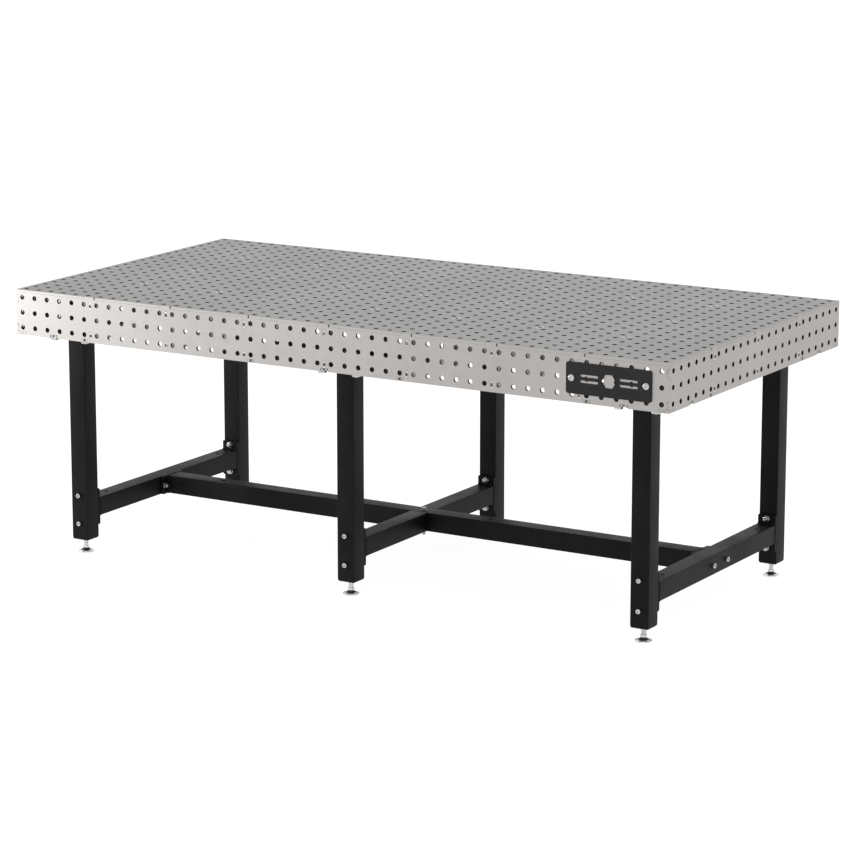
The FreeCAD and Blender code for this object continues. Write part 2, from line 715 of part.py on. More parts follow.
# ----------------------------------------------------------------------------------
# Stretchers
# ----------------------------------------------------------------------------------
STRETCHER_Z = sheet.StretcherHeight
CROSS_HALF = LEG_Y - SIDE / 2 - sheet.EndPlateThickness
LONG_HALF = LEG_X - SIDE / 2 - sheet.EndPlateThickness
ALONG_Y = Rotation(AXIS_X, -90)
ALONG_X = Rotation(AXIS_Y, 90)


def side_holes(body, role, name, spots, diameter):
    """Holes through a tube: spots are (across, along) expressions in the plane's axes."""
    sketch = new_sketch(body, role, name)
    for index, (u, v) in enumerate(spots):
        sketch_circle(sketch, "Hole%d" % index, u, v, diameter)
    return drill(body, sketch)


def top_holes(body, name, levels, diameter):
    """Holes in the wall of a tube (built along Z) that ends up on top."""
    sketch = new_sketch(body, "XZ_Plane", name)
    for index, level in enumerate(levels):
        sketch_circle(sketch, "Vent%d" % index, "0", level, diameter)
    before = body.Shape.Volume
    feature = body.newObject("PartDesign::Pocket", name + "Cut")
    feature.Profile = sketch
    feature.Type = "ThroughAll"
    feature.Reversed = False
    doc.recompute()
    if body.Shape.Volume >= before:
        raise RuntimeError("no material removed by " + name)
    return feature


def make_cross_stretchers():
    half = "(Sizes.TableWidth / 2 - Sizes.LegInset - Sizes.TubeSide / 2 - Sizes.EndPlateThickness)"
    bolt = "Sizes.TieBoltSpacing / 2"
    for label, x in (("left", -LEG_X), ("right", LEG_X)):
        name = "cross_stretcher_" + label
        body = square_tube(name, "2 * " + half)
        side_holes(body, "YZ_Plane", name + "_bolts",
                   (("0", half + " - " + bolt), ("0", half + " + " + bolt)), "11")
        top_holes(body, name + "_vents", ("80", "2 * %s - 80" % half), "Sizes.VentDiameter")
        body.Placement = Placement(Vector(x, -CROSS_HALF, STRETCHER_Z), ALONG_Y)
        register(name, body)
    for label, start, turn in (("front", -CROSS_HALF, ALONG_Y),
                               ("rear", CROSS_HALF, Rotation(AXIS_X, 90))):
        name = "middle_stretcher_" + label
        body = square_tube(name, half + " - Sizes.TubeSide / 2")
        body.Placement = Placement(Vector(0, start, STRETCHER_Z), turn)
        register(name, body)


def make_long_stretcher():
    half = "(Sizes.TableLength / 2 - Sizes.LegInset - Sizes.TubeSide / 2 - Sizes.EndPlateThickness)"
    body = square_tube("long_stretcher", "2 * " + half)
    window = new_sketch(body, "XZ_Plane", "SleeveWindow")
    clear = "Sizes.TubeSide - 2 * Sizes.TubeWall - 0.2"
    sketch_square_at(window, clear, half)
    drill(body, window)
    side_holes(body, "YZ_Plane", "CentreBoltHole", (("0", half),), "11")
    vents = new_sketch(body, "YZ_Plane", "LongVents")
    for index, offset in enumerate(("- 810", "- 261", "+ 261", "+ 810")):
        sketch_circle(vents, "Vent%d" % index, "0", half + " " + offset, "Sizes.VentDiameter")
    before = body.Shape.Volume
    cut = body.newObject("PartDesign::Pocket", "LongVentsCut")
    cut.Profile = vents
    cut.Type = "ThroughAll"
    cut.Reversed = False
    doc.recompute()
    if body.Shape.Volume >= before:
        raise RuntimeError("no material removed by LongVents")
    body.Placement = Placement(Vector(-LONG_HALF, 0, STRETCHER_Z), ALONG_X)
    register("long_stretcher", body)


def sketch_square_at(sketch, side, level):
    """Square whose centre is up the sketch's vertical axis."""
    sketch_rectangle(sketch, "Window", side, side)
    symmetric = [index for index, constraint in enumerate(sketch.Constraints)
                 if constraint.Type == "Symmetric"][0]
    sketch.delConstraint(symmetric)
    for name, kind, args, expression in (
            ("WindowHalf", "DistanceX", (0, 1, -1, 1, 20.0), "(%s) / 2" % side),
            ("WindowLevel", "DistanceY", (-1, 1, 0, 1, 5.0), "%s - (%s) / 2" % (level, side))):
        number = sketch.addConstraint(Sketcher.Constraint(kind, *args))
        sketch.renameConstraint(number, name)
        sketch.setExpression("Constraints." + name, expression)


def make_centre_sleeve():
    """Short inner tube through the long stretcher that carries both middle halves."""
    body = new_body("centre_sleeve")
    sketch = new_sketch(body, "XY_Plane", "SleeveSection")
    outer = "Sizes.TubeSide - 2 * Sizes.TubeWall - 0.6"
    sketch_rectangle(sketch, "Outer", outer, outer)
    sketch_rectangle(sketch, "Inner", outer + " - 2 * Sizes.TubeWall", outer + " - 2 * Sizes.TubeWall")
    pad(body, sketch, "160")
    doc.recompute()
    side_holes(body, "XZ_Plane", "SleeveBolt", (("0", "80"),), "11")
    body.Placement = Placement(Vector(0, -80, STRETCHER_Z), ALONG_Y)
    register("centre_sleeve", body)


def make_end_plates():
    bolt = "Sizes.TieBoltSpacing / 2"
    upright = end_plate_master("upright_plate", "Sizes.EndPlateShort", "Sizes.EndPlateLong",
                               "0", bolt)
    spots = []
    for x in (-LEG_X, 0, LEG_X):
        spots.append(Placement(Vector(x, -CROSS_HALF, STRETCHER_Z), Rotation(AXIS_X, 90)))
        spots.append(Placement(Vector(x, CROSS_HALF, STRETCHER_Z), Rotation(AXIS_X, -90)))
    group("leg_end_plates", upright, spots)
    level = end_plate_master("level_plate", "Sizes.EndPlateShort", "Sizes.EndPlateLong",
                             "0", bolt)
    group("tee_end_plates", level,
          [Placement(Vector(-LONG_HALF, 0, STRETCHER_Z), Rotation(AXIS_Y, -90)),
           Placement(Vector(LONG_HALF, 0, STRETCHER_Z), Rotation(AXIS_Y, 90))])


# ----------------------------------------------------------------------------------
# Fasteners: each master stands on Z = 0 with its shank pointing down
# ----------------------------------------------------------------------------------
def hexagon(across_flats, low, high):
    """Hexagonal prism between two levels."""
    radius = across_flats / math.sqrt(3)
    points = [Vector(radius * math.cos(math.radians(60 * step)),
                     radius * math.sin(math.radians(60 * step)), low) for step in range(6)]
    face = Part.Face(Part.makePolygon(points + points[:1]))
    return face.extrude(Vector(0, 0, high - low))


def rounded_hexagon(across_flats, low, high, both_ends):
    """Hexagonal prism with its corners turned down at the top, or at both ends."""
    prism = hexagon(across_flats, low, high)
    radius = across_flats / math.sqrt(3)
    drop = (radius - across_flats / 2 * 0.95) * math.tan(math.radians(30))
    rim = across_flats / 2 * 0.95
    bottom_r = rim if both_ends else radius + 1
    bottom_drop = drop if both_ends else 0.0
    profile = [Vector(0, 0, low), Vector(bottom_r, 0, low), Vector(radius + 0.01, 0, low + bottom_drop),
               Vector(radius + 0.01, 0, high - drop), Vector(rim, 0, high), Vector(0, 0, high)]
    turned = Part.Face(Part.makePolygon(profile + profile[:1])).revolve(Vector(), AXIS_Z, 360)
    return prism.common(turned)


def shank(diameter, length):
    """Plain shank with a chamfered end, down from Z = 0."""
    radius = diameter / 2
    tip = 0.12 * diameter
    profile = [Vector(0, 0, 0), Vector(radius, 0, 0), Vector(radius, 0, tip - length),
               Vector(radius - tip, 0, -length), Vector(0, 0, -length)]
    return Part.Face(Part.makePolygon(profile + profile[:1])).revolve(Vector(), AXIS_Z, 360)


def hex_bolt(name, diameter, flats, head, length):
    feature = doc.addObject("Part::Feature", name)
    feature.Shape = rounded_hexagon(flats, 0, head, False).fuse(shank(diameter, length))
    return feature


def button_screw(name, diameter, head_diameter, head, socket, length):
    """Domed head with a hexagon socket."""
    radius = head_diameter / 2
    flat = radius * 0.45
    arc = Part.Arc(Vector(radius, 0, head * 0.18), Vector(radius * 0.82, 0, head * 0.66),
                   Vector(flat, 0, head))
    edges = [Part.makeLine(Vector(0, 0, 0), Vector(radius, 0, 0)),
             Part.makeLine(Vector(radius, 0, 0), Vector(radius, 0, head * 0.18)),
             arc.toShape(),
             Part.makeLine(Vector(flat, 0, head), Vector(0, 0, head)),
             Part.makeLine(Vector(0, 0, head), Vector(0, 0, 0))]
    dome = Part.Face(Part.Wire(edges)).revolve(Vector(), AXIS_Z, 360)
    feature = doc.addObject("Part::Feature", name)
    feature.Shape = dome.fuse(shank(diameter, length)).cut(hexagon(socket, head * 0.4, head + 1))
    return feature


def cap_screw(name, diameter, head_diameter, head, socket, length):
    """Cylindrical head with a chamfered rim and a hexagon socket."""
    radius = head_diameter / 2
    rim = 0.7
    profile = [Vector(0, 0, 0), Vector(radius, 0, 0), Vector(radius, 0, head - rim),
               Vector(radius - rim, 0, head), Vector(0, 0, head)]
    turned = Part.Face(Part.makePolygon(profile + profile[:1])).revolve(Vector(), AXIS_Z, 360)
    feature = doc.addObject("Part::Feature", name)
    feature.Shape = turned.fuse(shank(diameter, length)).cut(hexagon(socket, head * 0.5, head + 1))
    return feature


def nut(name, diameter, flats, height):
    """Hexagon nut that hangs down from Z = 0, bored with running play on the shank."""
    feature = doc.addObject("Part::Feature", name)
    bore = Part.makeCylinder(diameter / 2 + 0.05, height + 2, Vector(0, 0, -height - 1))
    feature.Shape = rounded_hexagon(flats, -height, 0, True).cut(bore)
    return feature


def washer(name, bore, outer, height):
    """Plain washer that hangs down from Z = 0."""
    feature = doc.addObject("Part::Feature", name)
    disc = Part.makeCylinder(outer / 2, height, Vector(0, 0, -height))
    feature.Shape = disc.cut(Part.makeCylinder(bore / 2, height + 2, Vector(0, 0, -height - 1)))
    return feature


WASHER_16 = 3.0
NUT_16 = 14.8
WASHER_10 = 2.0
NUT_10 = 8.4
PROUD = 3.0


def make_flange_fasteners():
    spots = [spot for x, y in LEG_SPOTS.values()
             for spot in square_pattern(x, y, sheet.FlangeBoltSpacing)]
    grip = PLATE + sheet.FlangeThickness
    bolt = hex_bolt("flange_bolt", 16, 24, 10, grip + WASHER_16 + NUT_16 + 1.5)
    ring = washer("flange_washer", 17, 30, WASHER_16)
    hex_nut = nut("flange_nut", 16, 24, NUT_16)
    up = Rotation()
    group("flange_bolts", bolt, [Placement(Vector(x, y, MOUNT_TOP), up) for x, y in spots])
    group("flange_washers", ring, [Placement(Vector(x, y, FLANGE_BOTTOM), up) for x, y in spots])
    group("flange_nuts", hex_nut,
          [Placement(Vector(x, y, FLANGE_BOTTOM - WASHER_16), up) for x, y in spots])


def tie_spots():
    """Head seat, nut seat and outward direction of every bolt through a tube and a plate."""
    seats = []
    half = sheet.TieBoltSpacing / 2
    for x in (-LEG_X, 0, LEG_X):
        for side in (-1, 1):
            for level in (-half, half):
                outer = Vector(x, side * (LEG_Y + SIDE / 2), STRETCHER_Z + level)
                inner = Vector(x, side * CROSS_HALF, STRETCHER_Z + level)
                seats.append((outer, inner, Vector(0, side, 0)))
    for side in (-1, 1):
        for y in (-half, half):
            outer = Vector(side * (LEG_X + SIDE / 2), y, STRETCHER_Z)
            inner = Vector(side * LONG_HALF, y, STRETCHER_Z)
            seats.append((outer, inner, Vector(side, 0, 0)))
    return seats


def make_tie_fasteners():
    """Screws of the end plates, the bolt at the centre, and the M10 nuts and washers of both."""
    grip = SIDE + sheet.EndPlateThickness
    screw = cap_screw("tie_screw", diameter=10, head_diameter=16, head=10, socket=8,
                      length=grip + WASHER_10 + NUT_10 + PROUD)
    ring = washer("tie_washer", 10.8, 21, WASHER_10)
    hex_nut = nut("tie_nut", 10, 17, NUT_10)
    top = Vector(0, 0, STRETCHER_Z + SIDE / 2 + WASHER_10)
    bottom = Vector(0, 0, STRETCHER_Z - SIDE / 2)
    heads = []
    rings = [Placement(top, Rotation()), Placement(bottom, Rotation())]
    nuts = [Placement(bottom - AXIS_Z * WASHER_10, Rotation())]
    for outer, inner, direction in tie_spots():
        turn = Rotation(AXIS_Z, direction)
        heads.append(Placement(outer, turn))
        rings.append(Placement(inner, turn))
        nuts.append(Placement(inner - direction * WASHER_10, turn))
    group("tie_screws", screw, heads)
    group("tie_washers", ring, rings)
    group("tie_nuts", hex_nut, nuts)
    length = SIDE + 2 * WASHER_10 + NUT_10 + 12.0
    group("centre_bolt", hex_bolt("centre_hex_bolt", 10, 17, 6.4, length),
          [Placement(top, Rotation())])


# ----------------------------------------------------------------------------------
# Nameplate
# ----------------------------------------------------------------------------------
NAMEPLATE_SCREWS = (41.5, 46.5)


def make_nameplate():
    """Plain plate with a generic cut: a hexagon between two pairs of slots."""
    thickness = sheet.NameplateThickness
    middle = -LENGTH / 2 + PITCH * sum(NAMEPLATE_SCREWS) / 2
    screws = [PITCH * (step - sum(NAMEPLATE_SCREWS) / 2) for step in NAMEPLATE_SCREWS]
    half_u = sheet.NameplateLength / 2
    half_v = sheet.NameplateHeight / 2
    outline = rounded_rectangle(-half_u, -half_v, half_u, half_v, 9.0)
    openings = [circle(u, 0, 6.5) for u in screws]
    radius = 24.0
    corners = [Vector(radius * math.cos(math.radians(60 * step)),
                      radius * math.sin(math.radians(60 * step)), 0) for step in range(6)]
    openings.append(Part.makePolygon(corners + corners[:1]))
    for side in (-1, 1):
        for level in (-9.0, 9.0):
            low = min(side * 36.0, side * 98.0)
            openings.append(rounded_rectangle(low, level - 4.0, low + 62.0, level + 4.0, 3.9))
    face = Part.makeFace([outline] + openings, "Part::FaceMakerBullseye")
    feature = doc.addObject("Part::Feature", "nameplate")
    feature.Shape = face.extrude(Vector(0, 0, thickness))
    feature.Placement = plane(Vector(middle, -WIDTH / 2, HEIGHT - 1.5 * PITCH), AXIS_X, AXIS_Z)
    register("nameplate", feature)

    face_y = -WIDTH / 2 - thickness
    washer_12 = 2.5
    nut_12 = 10.8
    proud_12 = 1.2
    screw = button_screw("nameplate_screw", diameter=12, head_diameter=22, head=5.0, socket=8,
                         length=thickness + PLATE + washer_12 + nut_12 + proud_12)
    spots = [Vector(middle + u, face_y, HEIGHT - 1.5 * PITCH) for u in screws]
    turn = Rotation(AXIS_Z, -AXIS_Y)
    group("nameplate_screws", screw, [Placement(spot, turn) for spot in spots])
    inner = Vector(0, thickness + PLATE, 0)
    group("nameplate_washers", washer("nameplate_ring", 13, 24, 2.5),
          [Placement(spot + inner, turn) for spot in spots])
    group("nameplate_nuts", nut("nameplate_nut", 12, 18, 10.8),
          [Placement(spot + inner + Vector(0, 2.5, 0), turn) for spot in spots])


# ----------------------------------------------------------------------------------
# Levelling feet
# ----------------------------------------------------------------------------------
COLLAR_LOW = 14.0
COLLAR_HIGH = 20.5
BALL_RADIUS = 6.0
BALL_LEVEL = 8.5


def revolve_profile(name, points):
    """PartDesign revolution of a closed profile of (radius, level) points about Z."""
    body = new_body(name)
    sketch = new_sketch(body, "XZ_Plane", name + "Profile")
    vectors = [Vector(r, z, 0) for r, z in points]
    for index, start in enumerate(vectors):
        sketch.addGeometry(Part.LineSegment(start, vectors[(index + 1) % len(vectors)]))
        sketch.addConstraint(Sketcher.Constraint("Block", index))
    revolution = body.newObject("PartDesign::Revolution", name + "Turned")
    revolution.Profile = sketch
    revolution.ReferenceAxis = (sketch, ["V_Axis"])
    revolution.Angle = 360
    doc.recompute()
    return body


def pad_profile():
    """Conical pad with a socket for the ball, open at the top."""
    rim = sheet.PadDiameter / 2
    steps = 12
    seat = (BALL_RADIUS + 0.05) / math.cos(math.radians(115 / steps / 2))
    low = BALL_LEVEL - seat
    socket = []
    for step in range(steps + 1):
        angle = math.radians(-90 + step * 115 / steps)
        socket.append((seat * math.cos(angle), BALL_LEVEL + seat * math.sin(angle)))
    socket[0] = (0.0, low)
    outside = [(0.0, 0.0), (rim - 0.8, 0.0), (rim, 0.8), (rim, 4.0), (rim - 1.0, 5.0),
               (rim - 9.0, 6.2), (11.4, 9.8), (9.2, 12.6), (8.6, 13.2), (6.9, 13.2)]
    return outside + list(reversed(socket))


def make_feet():
    points = pad_profile()
    stud_top = sheet.StudTop
    radius = sheet.StudDiameter / 2
    for spot, (x, y) in LEG_SPOTS.items():
        foot_pad = revolve_profile("foot_pad_" + spot, points)
        foot_pad.Placement = Placement(Vector(x, y, 0), Rotation())
        register("foot_pad_" + spot, foot_pad)

        ball = Part.makeSphere(BALL_RADIUS, Vector(0, 0, BALL_LEVEL))
        neck = Part.makeCylinder(4.6, COLLAR_LOW - BALL_LEVEL + 1, Vector(0, 0, BALL_LEVEL))
        collar = rounded_hexagon(19, COLLAR_LOW, COLLAR_HIGH, True)
        stem = shank(2 * radius, stud_top - COLLAR_HIGH + 1)
        stem.Placement = Placement(Vector(0, 0, COLLAR_HIGH - 1), Rotation(AXIS_X, 180))
        stud = doc.addObject("Part::Feature", "foot_stud_" + spot)
        stud.Shape = ball.fuse([neck, collar, stem]).removeSplitter()
        stud.Placement = Placement(Vector(x, y, 0), Rotation())
        register("foot_stud_" + spot, stud)


# ----------------------------------------------------------------------------------
# Build, check and write
# ----------------------------------------------------------------------------------
def check_document():
    doc.recompute()
    for item in doc.Objects:
        if "Invalid" in item.State or "Error" in item.State:
            raise RuntimeError("failed object: %s %s" % (item.Name, item.State))
    bad = [label for label, feature in nodes.items()
           if feature.Shape.isNull() or not feature.Shape.isValid() or not feature.Shape.Solids]
    if bad:
        raise RuntimeError("bad shapes: " + ", ".join(bad))


def write_parts():
    os.makedirs("parts", exist_ok=True)
    for label, feature in nodes.items():
        feature.Shape.exportStep("parts/%s.step" % label)
    print("%d nodes written" % len(nodes))


make_top_plate()
make_aprons()
make_ribs()
make_mount_plates()
make_legs()
make_flanges()
make_leg_caps()
make_cross_stretchers()
make_long_stretcher()
make_centre_sleeve()
make_end_plates()
make_flange_fasteners()
make_tie_fasteners()
make_nameplate()
make_feet()
check_document()
write_parts()
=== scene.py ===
import math

import bmesh
import bpy
import numpy as np
from mathutils import Matrix, Vector
from mathutils.geometry import delaunay_2d_cdt


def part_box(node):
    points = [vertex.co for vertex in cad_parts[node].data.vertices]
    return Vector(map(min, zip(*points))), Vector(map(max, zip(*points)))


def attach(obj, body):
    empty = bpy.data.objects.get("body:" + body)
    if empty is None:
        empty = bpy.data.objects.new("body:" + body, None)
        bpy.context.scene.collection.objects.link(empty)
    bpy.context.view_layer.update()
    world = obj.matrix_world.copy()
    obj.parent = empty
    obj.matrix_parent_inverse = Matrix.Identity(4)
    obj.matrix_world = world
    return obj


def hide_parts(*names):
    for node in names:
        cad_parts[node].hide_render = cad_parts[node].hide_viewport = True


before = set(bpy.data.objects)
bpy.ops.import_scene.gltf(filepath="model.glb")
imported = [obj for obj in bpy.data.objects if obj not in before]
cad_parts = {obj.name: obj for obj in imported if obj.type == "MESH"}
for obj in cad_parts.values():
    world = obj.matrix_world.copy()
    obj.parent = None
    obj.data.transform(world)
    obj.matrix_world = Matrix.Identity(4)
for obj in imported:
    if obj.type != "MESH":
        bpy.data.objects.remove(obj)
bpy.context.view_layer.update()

MM = 0.001
TABLE = "table"
SPOTS = ["front_left", "front_middle", "front_right", "rear_left", "rear_middle", "rear_right"]
UP = Vector((0, 0, 1))


# ------------------------------------------------------------------ materials
class Surface:
    """A Principled material, with short calls for the nodes that drive it."""

    def __init__(self, name, **constants):
        self.material = bpy.data.materials.new(name)
        self.material.use_nodes = True
        self.tree = self.material.node_tree
        self.shader = self.tree.nodes["Principled BSDF"]
        for socket, value in constants.items():
            self.shader.inputs[socket.replace("_", " ")].default_value = value
        self.place = self.node("ShaderNodeTexCoord").outputs["Object"]

    def node(self, kind, inputs=None, **settings):
        """New node with its settings made and its inputs fed."""
        node = self.tree.nodes.new(kind)
        for key, value in settings.items():
            setattr(node, key, value)
        for key, value in (inputs or {}).items():
            self.feed(node.inputs[key], value)
        return node

    def feed(self, socket, value):
        """Link a node's output to a socket, or set the socket to a constant."""
        if isinstance(value, bpy.types.NodeSocket):
            self.tree.links.new(value, socket)
        elif isinstance(value, (tuple, list)) and len(value) == 3 and socket.type == "RGBA":
            socket.default_value = (*value, 1.0)
        else:
            socket.default_value = value

    def stretched(self, scale):
        """Object coordinates in metres, scaled along each axis."""
        return self.node("ShaderNodeMapping", {"Vector": self.place, "Scale": scale}).outputs[0]

    def noise(self, scale, detail=3.0, rough=0.5, stretch=None):
        """Noise over the object, stretched along its axes if asked."""
        vector = self.place if stretch is None else self.stretched(stretch)
        inputs = {"Vector": vector, "Scale": scale, "Detail": detail, "Roughness": rough}
        return self.node("ShaderNodeTexNoise", inputs).outputs[0]

    def spread(self, value, low, high, to_low, to_high):
        """Map a range onto another, clamped and smoothed."""
        inputs = {0: value, 1: low, 2: high, 3: to_low, 4: to_high}
        return self.node("ShaderNodeMapRange", inputs, interpolation_type="SMOOTHSTEP").outputs[0]

    def blend(self, factor, a, b):
        """Colour a where the factor is 0, colour b where it is 1."""
        node = self.node("ShaderNodeMix", data_type="RGBA", blend_type="MIX")
        self.feed(node.inputs[0], factor)
        self.feed(node.inputs[6], a)
        self.feed(node.inputs[7], b)
        return node.outputs[2]

    def sum(self, *parts):
        """Weighted sum of (value, weight) pairs."""
        total = None
        for value, weight in parts:
            inputs = {0: value, 1: weight, 2: 0.0 if total is None else total}
            total = self.node("ShaderNodeMath", inputs, operation="MULTIPLY_ADD").outputs[0]
        return total

    def bump(self, height, strength, distance):
        """Let a height push the surface normal about."""
        inputs = {"Height": height, "Strength": strength, "Distance": distance}
        self.feed(self.shader.inputs["Normal"], self.node("ShaderNodeBump", inputs).outputs[0])

    def finish(self, colour, roughness):
        """Feed the last two inputs and return the material."""
        self.feed(self.shader.inputs["Base Color"], colour)
        self.feed(self.shader.inputs["Roughness"], roughness)
        return self.material


def plate_steel(name, light, dark, grain, roughness=(0.42, 0.56)):
    """Bare satin plate: soft mottling, fine ground grain along one axis, faint scratches."""
    s = Surface(name, Metallic=1.0)
    cloud = s.noise(2.2, 4.0, 0.55)
    mottle = s.noise(38.0, 5.0, 0.6)
    speck = s.noise(420.0, 2.0, 0.6)
    streak = s.noise(1.0, 3.0, 0.65, stretch=tuple(9.0 if g else 620.0 for g in grain))
    hair = s.noise(1.0, 1.0, 0.4, stretch=tuple(3.0 if g else 1500.0 for g in grain))
    tone = s.sum((cloud, 0.30), (mottle, 0.26), (streak, 0.24), (speck, 0.20))
    colour = s.blend(s.spread(tone, 0.36, 0.64, 0.0, 1.0), dark, light)
    scratch = s.spread(hair, 0.70, 0.76, 0.0, 1.0)
    shade = s.noise(6.0, 2.0)
    few = s.node("ShaderNodeMath", {0: scratch, 1: s.spread(shade, 0.5, 0.7, 0.0, 0.6)},
                 operation="MULTIPLY").outputs[0]
    colour = s.blend(few, colour, tuple(min(1.0, 1.25 * c) for c in light))
    rough = s.spread(s.sum((mottle, 0.5), (streak, 0.5)), 0.35, 0.65, *roughness)
    s.bump(s.sum((streak, 0.5), (speck, 0.3), (hair, 0.2)), 0.22, 0.0004)
    return s.finish(colour, rough)


def cut_steel(name, light, dark, through):
    """Laser-cut edge: uneven striations that run through the plate."""
    s = Surface(name, Metallic=1.0)
    lines = s.noise(1.0, 2.0, 0.7, stretch=tuple(60.0 if t else 1300.0 for t in through))
    wide = s.noise(90.0, 3.0)
    colour = s.blend(s.spread(s.sum((lines, 0.6), (wide, 0.4)), 0.38, 0.62, 0.0, 1.0), dark, light)
    s.bump(lines, 0.45, 0.0004)
    return s.finish(colour, s.spread(lines, 0.35, 0.65, 0.34, 0.5))


def powder_coat(name, base, worn, roughness=(0.40, 0.52), specular=0.3):
    """Dark coating: orange peel, a slight cloud of dust, pale flecks, soft sheen."""
    s = Surface(name, Metallic=0.0, Specular_IOR_Level=specular)
    peel = s.noise(520.0, 2.0, 0.5)
    ripple = s.noise(150.0, 2.0, 0.5)
    cloud = s.noise(7.0, 5.0, 0.6)
    fleck = s.noise(900.0, 1.0, 0.5)
    colour = s.blend(s.spread(cloud, 0.38, 0.66, 0.0, 1.0), base, worn)
    colour = s.blend(s.spread(fleck, 0.70, 0.80, 0.0, 0.5), colour, tuple(3.0 * c for c in worn))
    s.bump(s.sum((peel, 0.6), (ripple, 0.4)), 0.28, 0.0005)
    return s.finish(colour, s.spread(s.sum((cloud, 0.6), (ripple, 0.4)), 0.35, 0.65, *roughness))


def plated(name, light, dark, roughness=(0.16, 0.30), scale=1.0):
    """Bright zinc or chrome: faint clouding, fine turning marks and handling smudges."""
    s = Surface(name, Metallic=1.0)
    cloud = s.noise(60.0 * scale, 4.0, 0.6)
    fine = s.noise(900.0, 2.0, 0.6)
    smudge = s.noise(170.0 * scale, 3.0, 0.55)
    colour = s.blend(s.spread(s.sum((cloud, 0.6), (fine, 0.4)), 0.38, 0.62, 0.0, 1.0), dark, light)
    s.bump(fine, 0.10, 0.0002)
    return s.finish(colour, s.spread(s.sum((smudge, 0.7), (fine, 0.3)), 0.35, 0.65, *roughness))


# One bare steel with its tone set per face as painted light and shade: the top face is painted darker
# than the aprons, and the left and right aprons a touch lighter than the front and rear ones.
TOP_FACE = plate_steel("top_face_steel_painted_shade", (0.355, 0.352, 0.348), (0.292, 0.29, 0.287), (1, 0, 0))
SIDE_FACE_X = plate_steel("apron_face_x", (0.437, 0.419, 0.405), (0.372, 0.357, 0.346), (1, 0, 0))
SIDE_FACE_Y = plate_steel("apron_face_y_painted_light", (0.455, 0.436, 0.422), (0.388, 0.372, 0.360), (0, 1, 0))
RIB_FACE_X = plate_steel("rib_face_x", (0.42, 0.405, 0.385), (0.34, 0.325, 0.305), (1, 0, 0))
RIB_FACE_Y = plate_steel("rib_face_y", (0.42, 0.405, 0.385), (0.34, 0.325, 0.305), (0, 1, 0))
CUTS = [cut_steel("cut_edge_" + "xyz"[axis], (0.44, 0.425, 0.405), (0.30, 0.29, 0.27),
                  [axis == k for k in range(3)]) for axis in range(3)]
# Rib cut edges are painted lighter than the plates' cut edges: a painted highlight where the rib tabs
# come up through the top.
RIB_CUTS_PAINTED_HIGHLIGHT = [cut_steel("rib_edge_painted_highlight_" + "xyz"[axis], (0.62, 0.60, 0.57), (0.47, 0.455, 0.43),
                      [axis == k for k in range(3)]) for axis in range(2)]
# Hole walls: the same cut steel painted much darker, as painted shade inside the holes; the top
# plate's holes get the darkest painted shade.
BORE_PAINTED_SHADE = cut_steel("bored_wall_painted_shade", (0.105, 0.093, 0.085), (0.075, 0.066, 0.060), (0, 0, 0))
TOP_BORE_PAINTED_SHADE = cut_steel("bored_top_wall_painted_shade", (0.045, 0.038, 0.034), (0.030, 0.026, 0.023), (0, 0, 0))
BLACK = powder_coat("black_powder_coat", (0.0025, 0.0025, 0.0027), (0.005, 0.005, 0.0053),
                    specular=0.10)
PLATE_BLACK = powder_coat("nameplate_coat", (0.0045, 0.0045, 0.005), (0.008, 0.008, 0.0085),
                          (0.30, 0.42), 0.26)
ZINC = plated("zinc_plate", (0.60, 0.605, 0.61), (0.42, 0.425, 0.43))
CHROME = plated("foot_chrome", (0.78, 0.785, 0.79), (0.58, 0.585, 0.59), (0.10, 0.22))
OXIDE = powder_coat("pad_black_oxide", (0.012, 0.012, 0.012), (0.028, 0.027, 0.026),
                    (0.34, 0.5), 0.5)


# ------------------------------------------------------------------ mesh helpers
class Soup:
    """Vertices and faces gathered from several shapes into one piece."""

    def __init__(self):
        self.verts = []
        self.faces = []
        self.slots = []

    def add(self, shape, matrix=None, slot=0):
        """Add (vertices, faces) or (vertices, faces, slots), moved by a matrix if given."""
        verts, faces = shape[0], shape[1]
        slots = shape[2] if len(shape) > 2 else [slot] * len(faces)
        start = len(self.verts)
        if matrix is not None:
            verts = [matrix @ Vector(v) for v in verts]
        self.verts += [tuple(v) for v in verts]
        self.faces += [tuple(start + i for i in face) for face in faces]
        self.slots += slots
        return self

    def piece(self, name, nodes, slot, materials, body=TABLE, sharp=32.0):
        """Make the object, put it on its body, and let it stand for CAD nodes."""
        mesh = bpy.data.meshes.new(name)
        mesh.from_pydata(self.verts, [], self.faces)
        mesh.validate()
        for material in materials:
            mesh.materials.append(material)
        mesh.polygons.foreach_set("material_index", self.slots[:len(mesh.polygons)])
        mesh.polygons.foreach_set("use_smooth", [True] * len(mesh.polygons))
        mesh.set_sharp_from_angle(angle=math.radians(sharp))
        mesh.update()
        made = bpy.data.objects.new(name, mesh)
        bpy.context.scene.collection.objects.link(made)
        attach(made, body)
        if nodes:
            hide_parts(*nodes)
        return made


def quads_between(count, lower, upper, closed=True):
    """Quads between two rings of the same count; lower and upper are first indices."""
    last = count if closed else count - 1
    return [(lower + i, lower + (i + 1) % count, upper + (i + 1) % count, upper + i)
            for i in range(last)]


def polar(radius, angle, level):
    """Point at a radius and angle about Z."""
    return radius * math.cos(angle), radius * math.sin(angle), level


def full_turn(count):
    """Equal angles round a circle."""
    return [2 * math.pi * i / count for i in range(count)]


def hexagon_reach(flats, angle):
    """Distance from the centre of a hexagon to its outline at an angle."""
    return flats / 2 / math.cos((angle + math.pi / 6) % (math.pi / 3) - math.pi / 6)


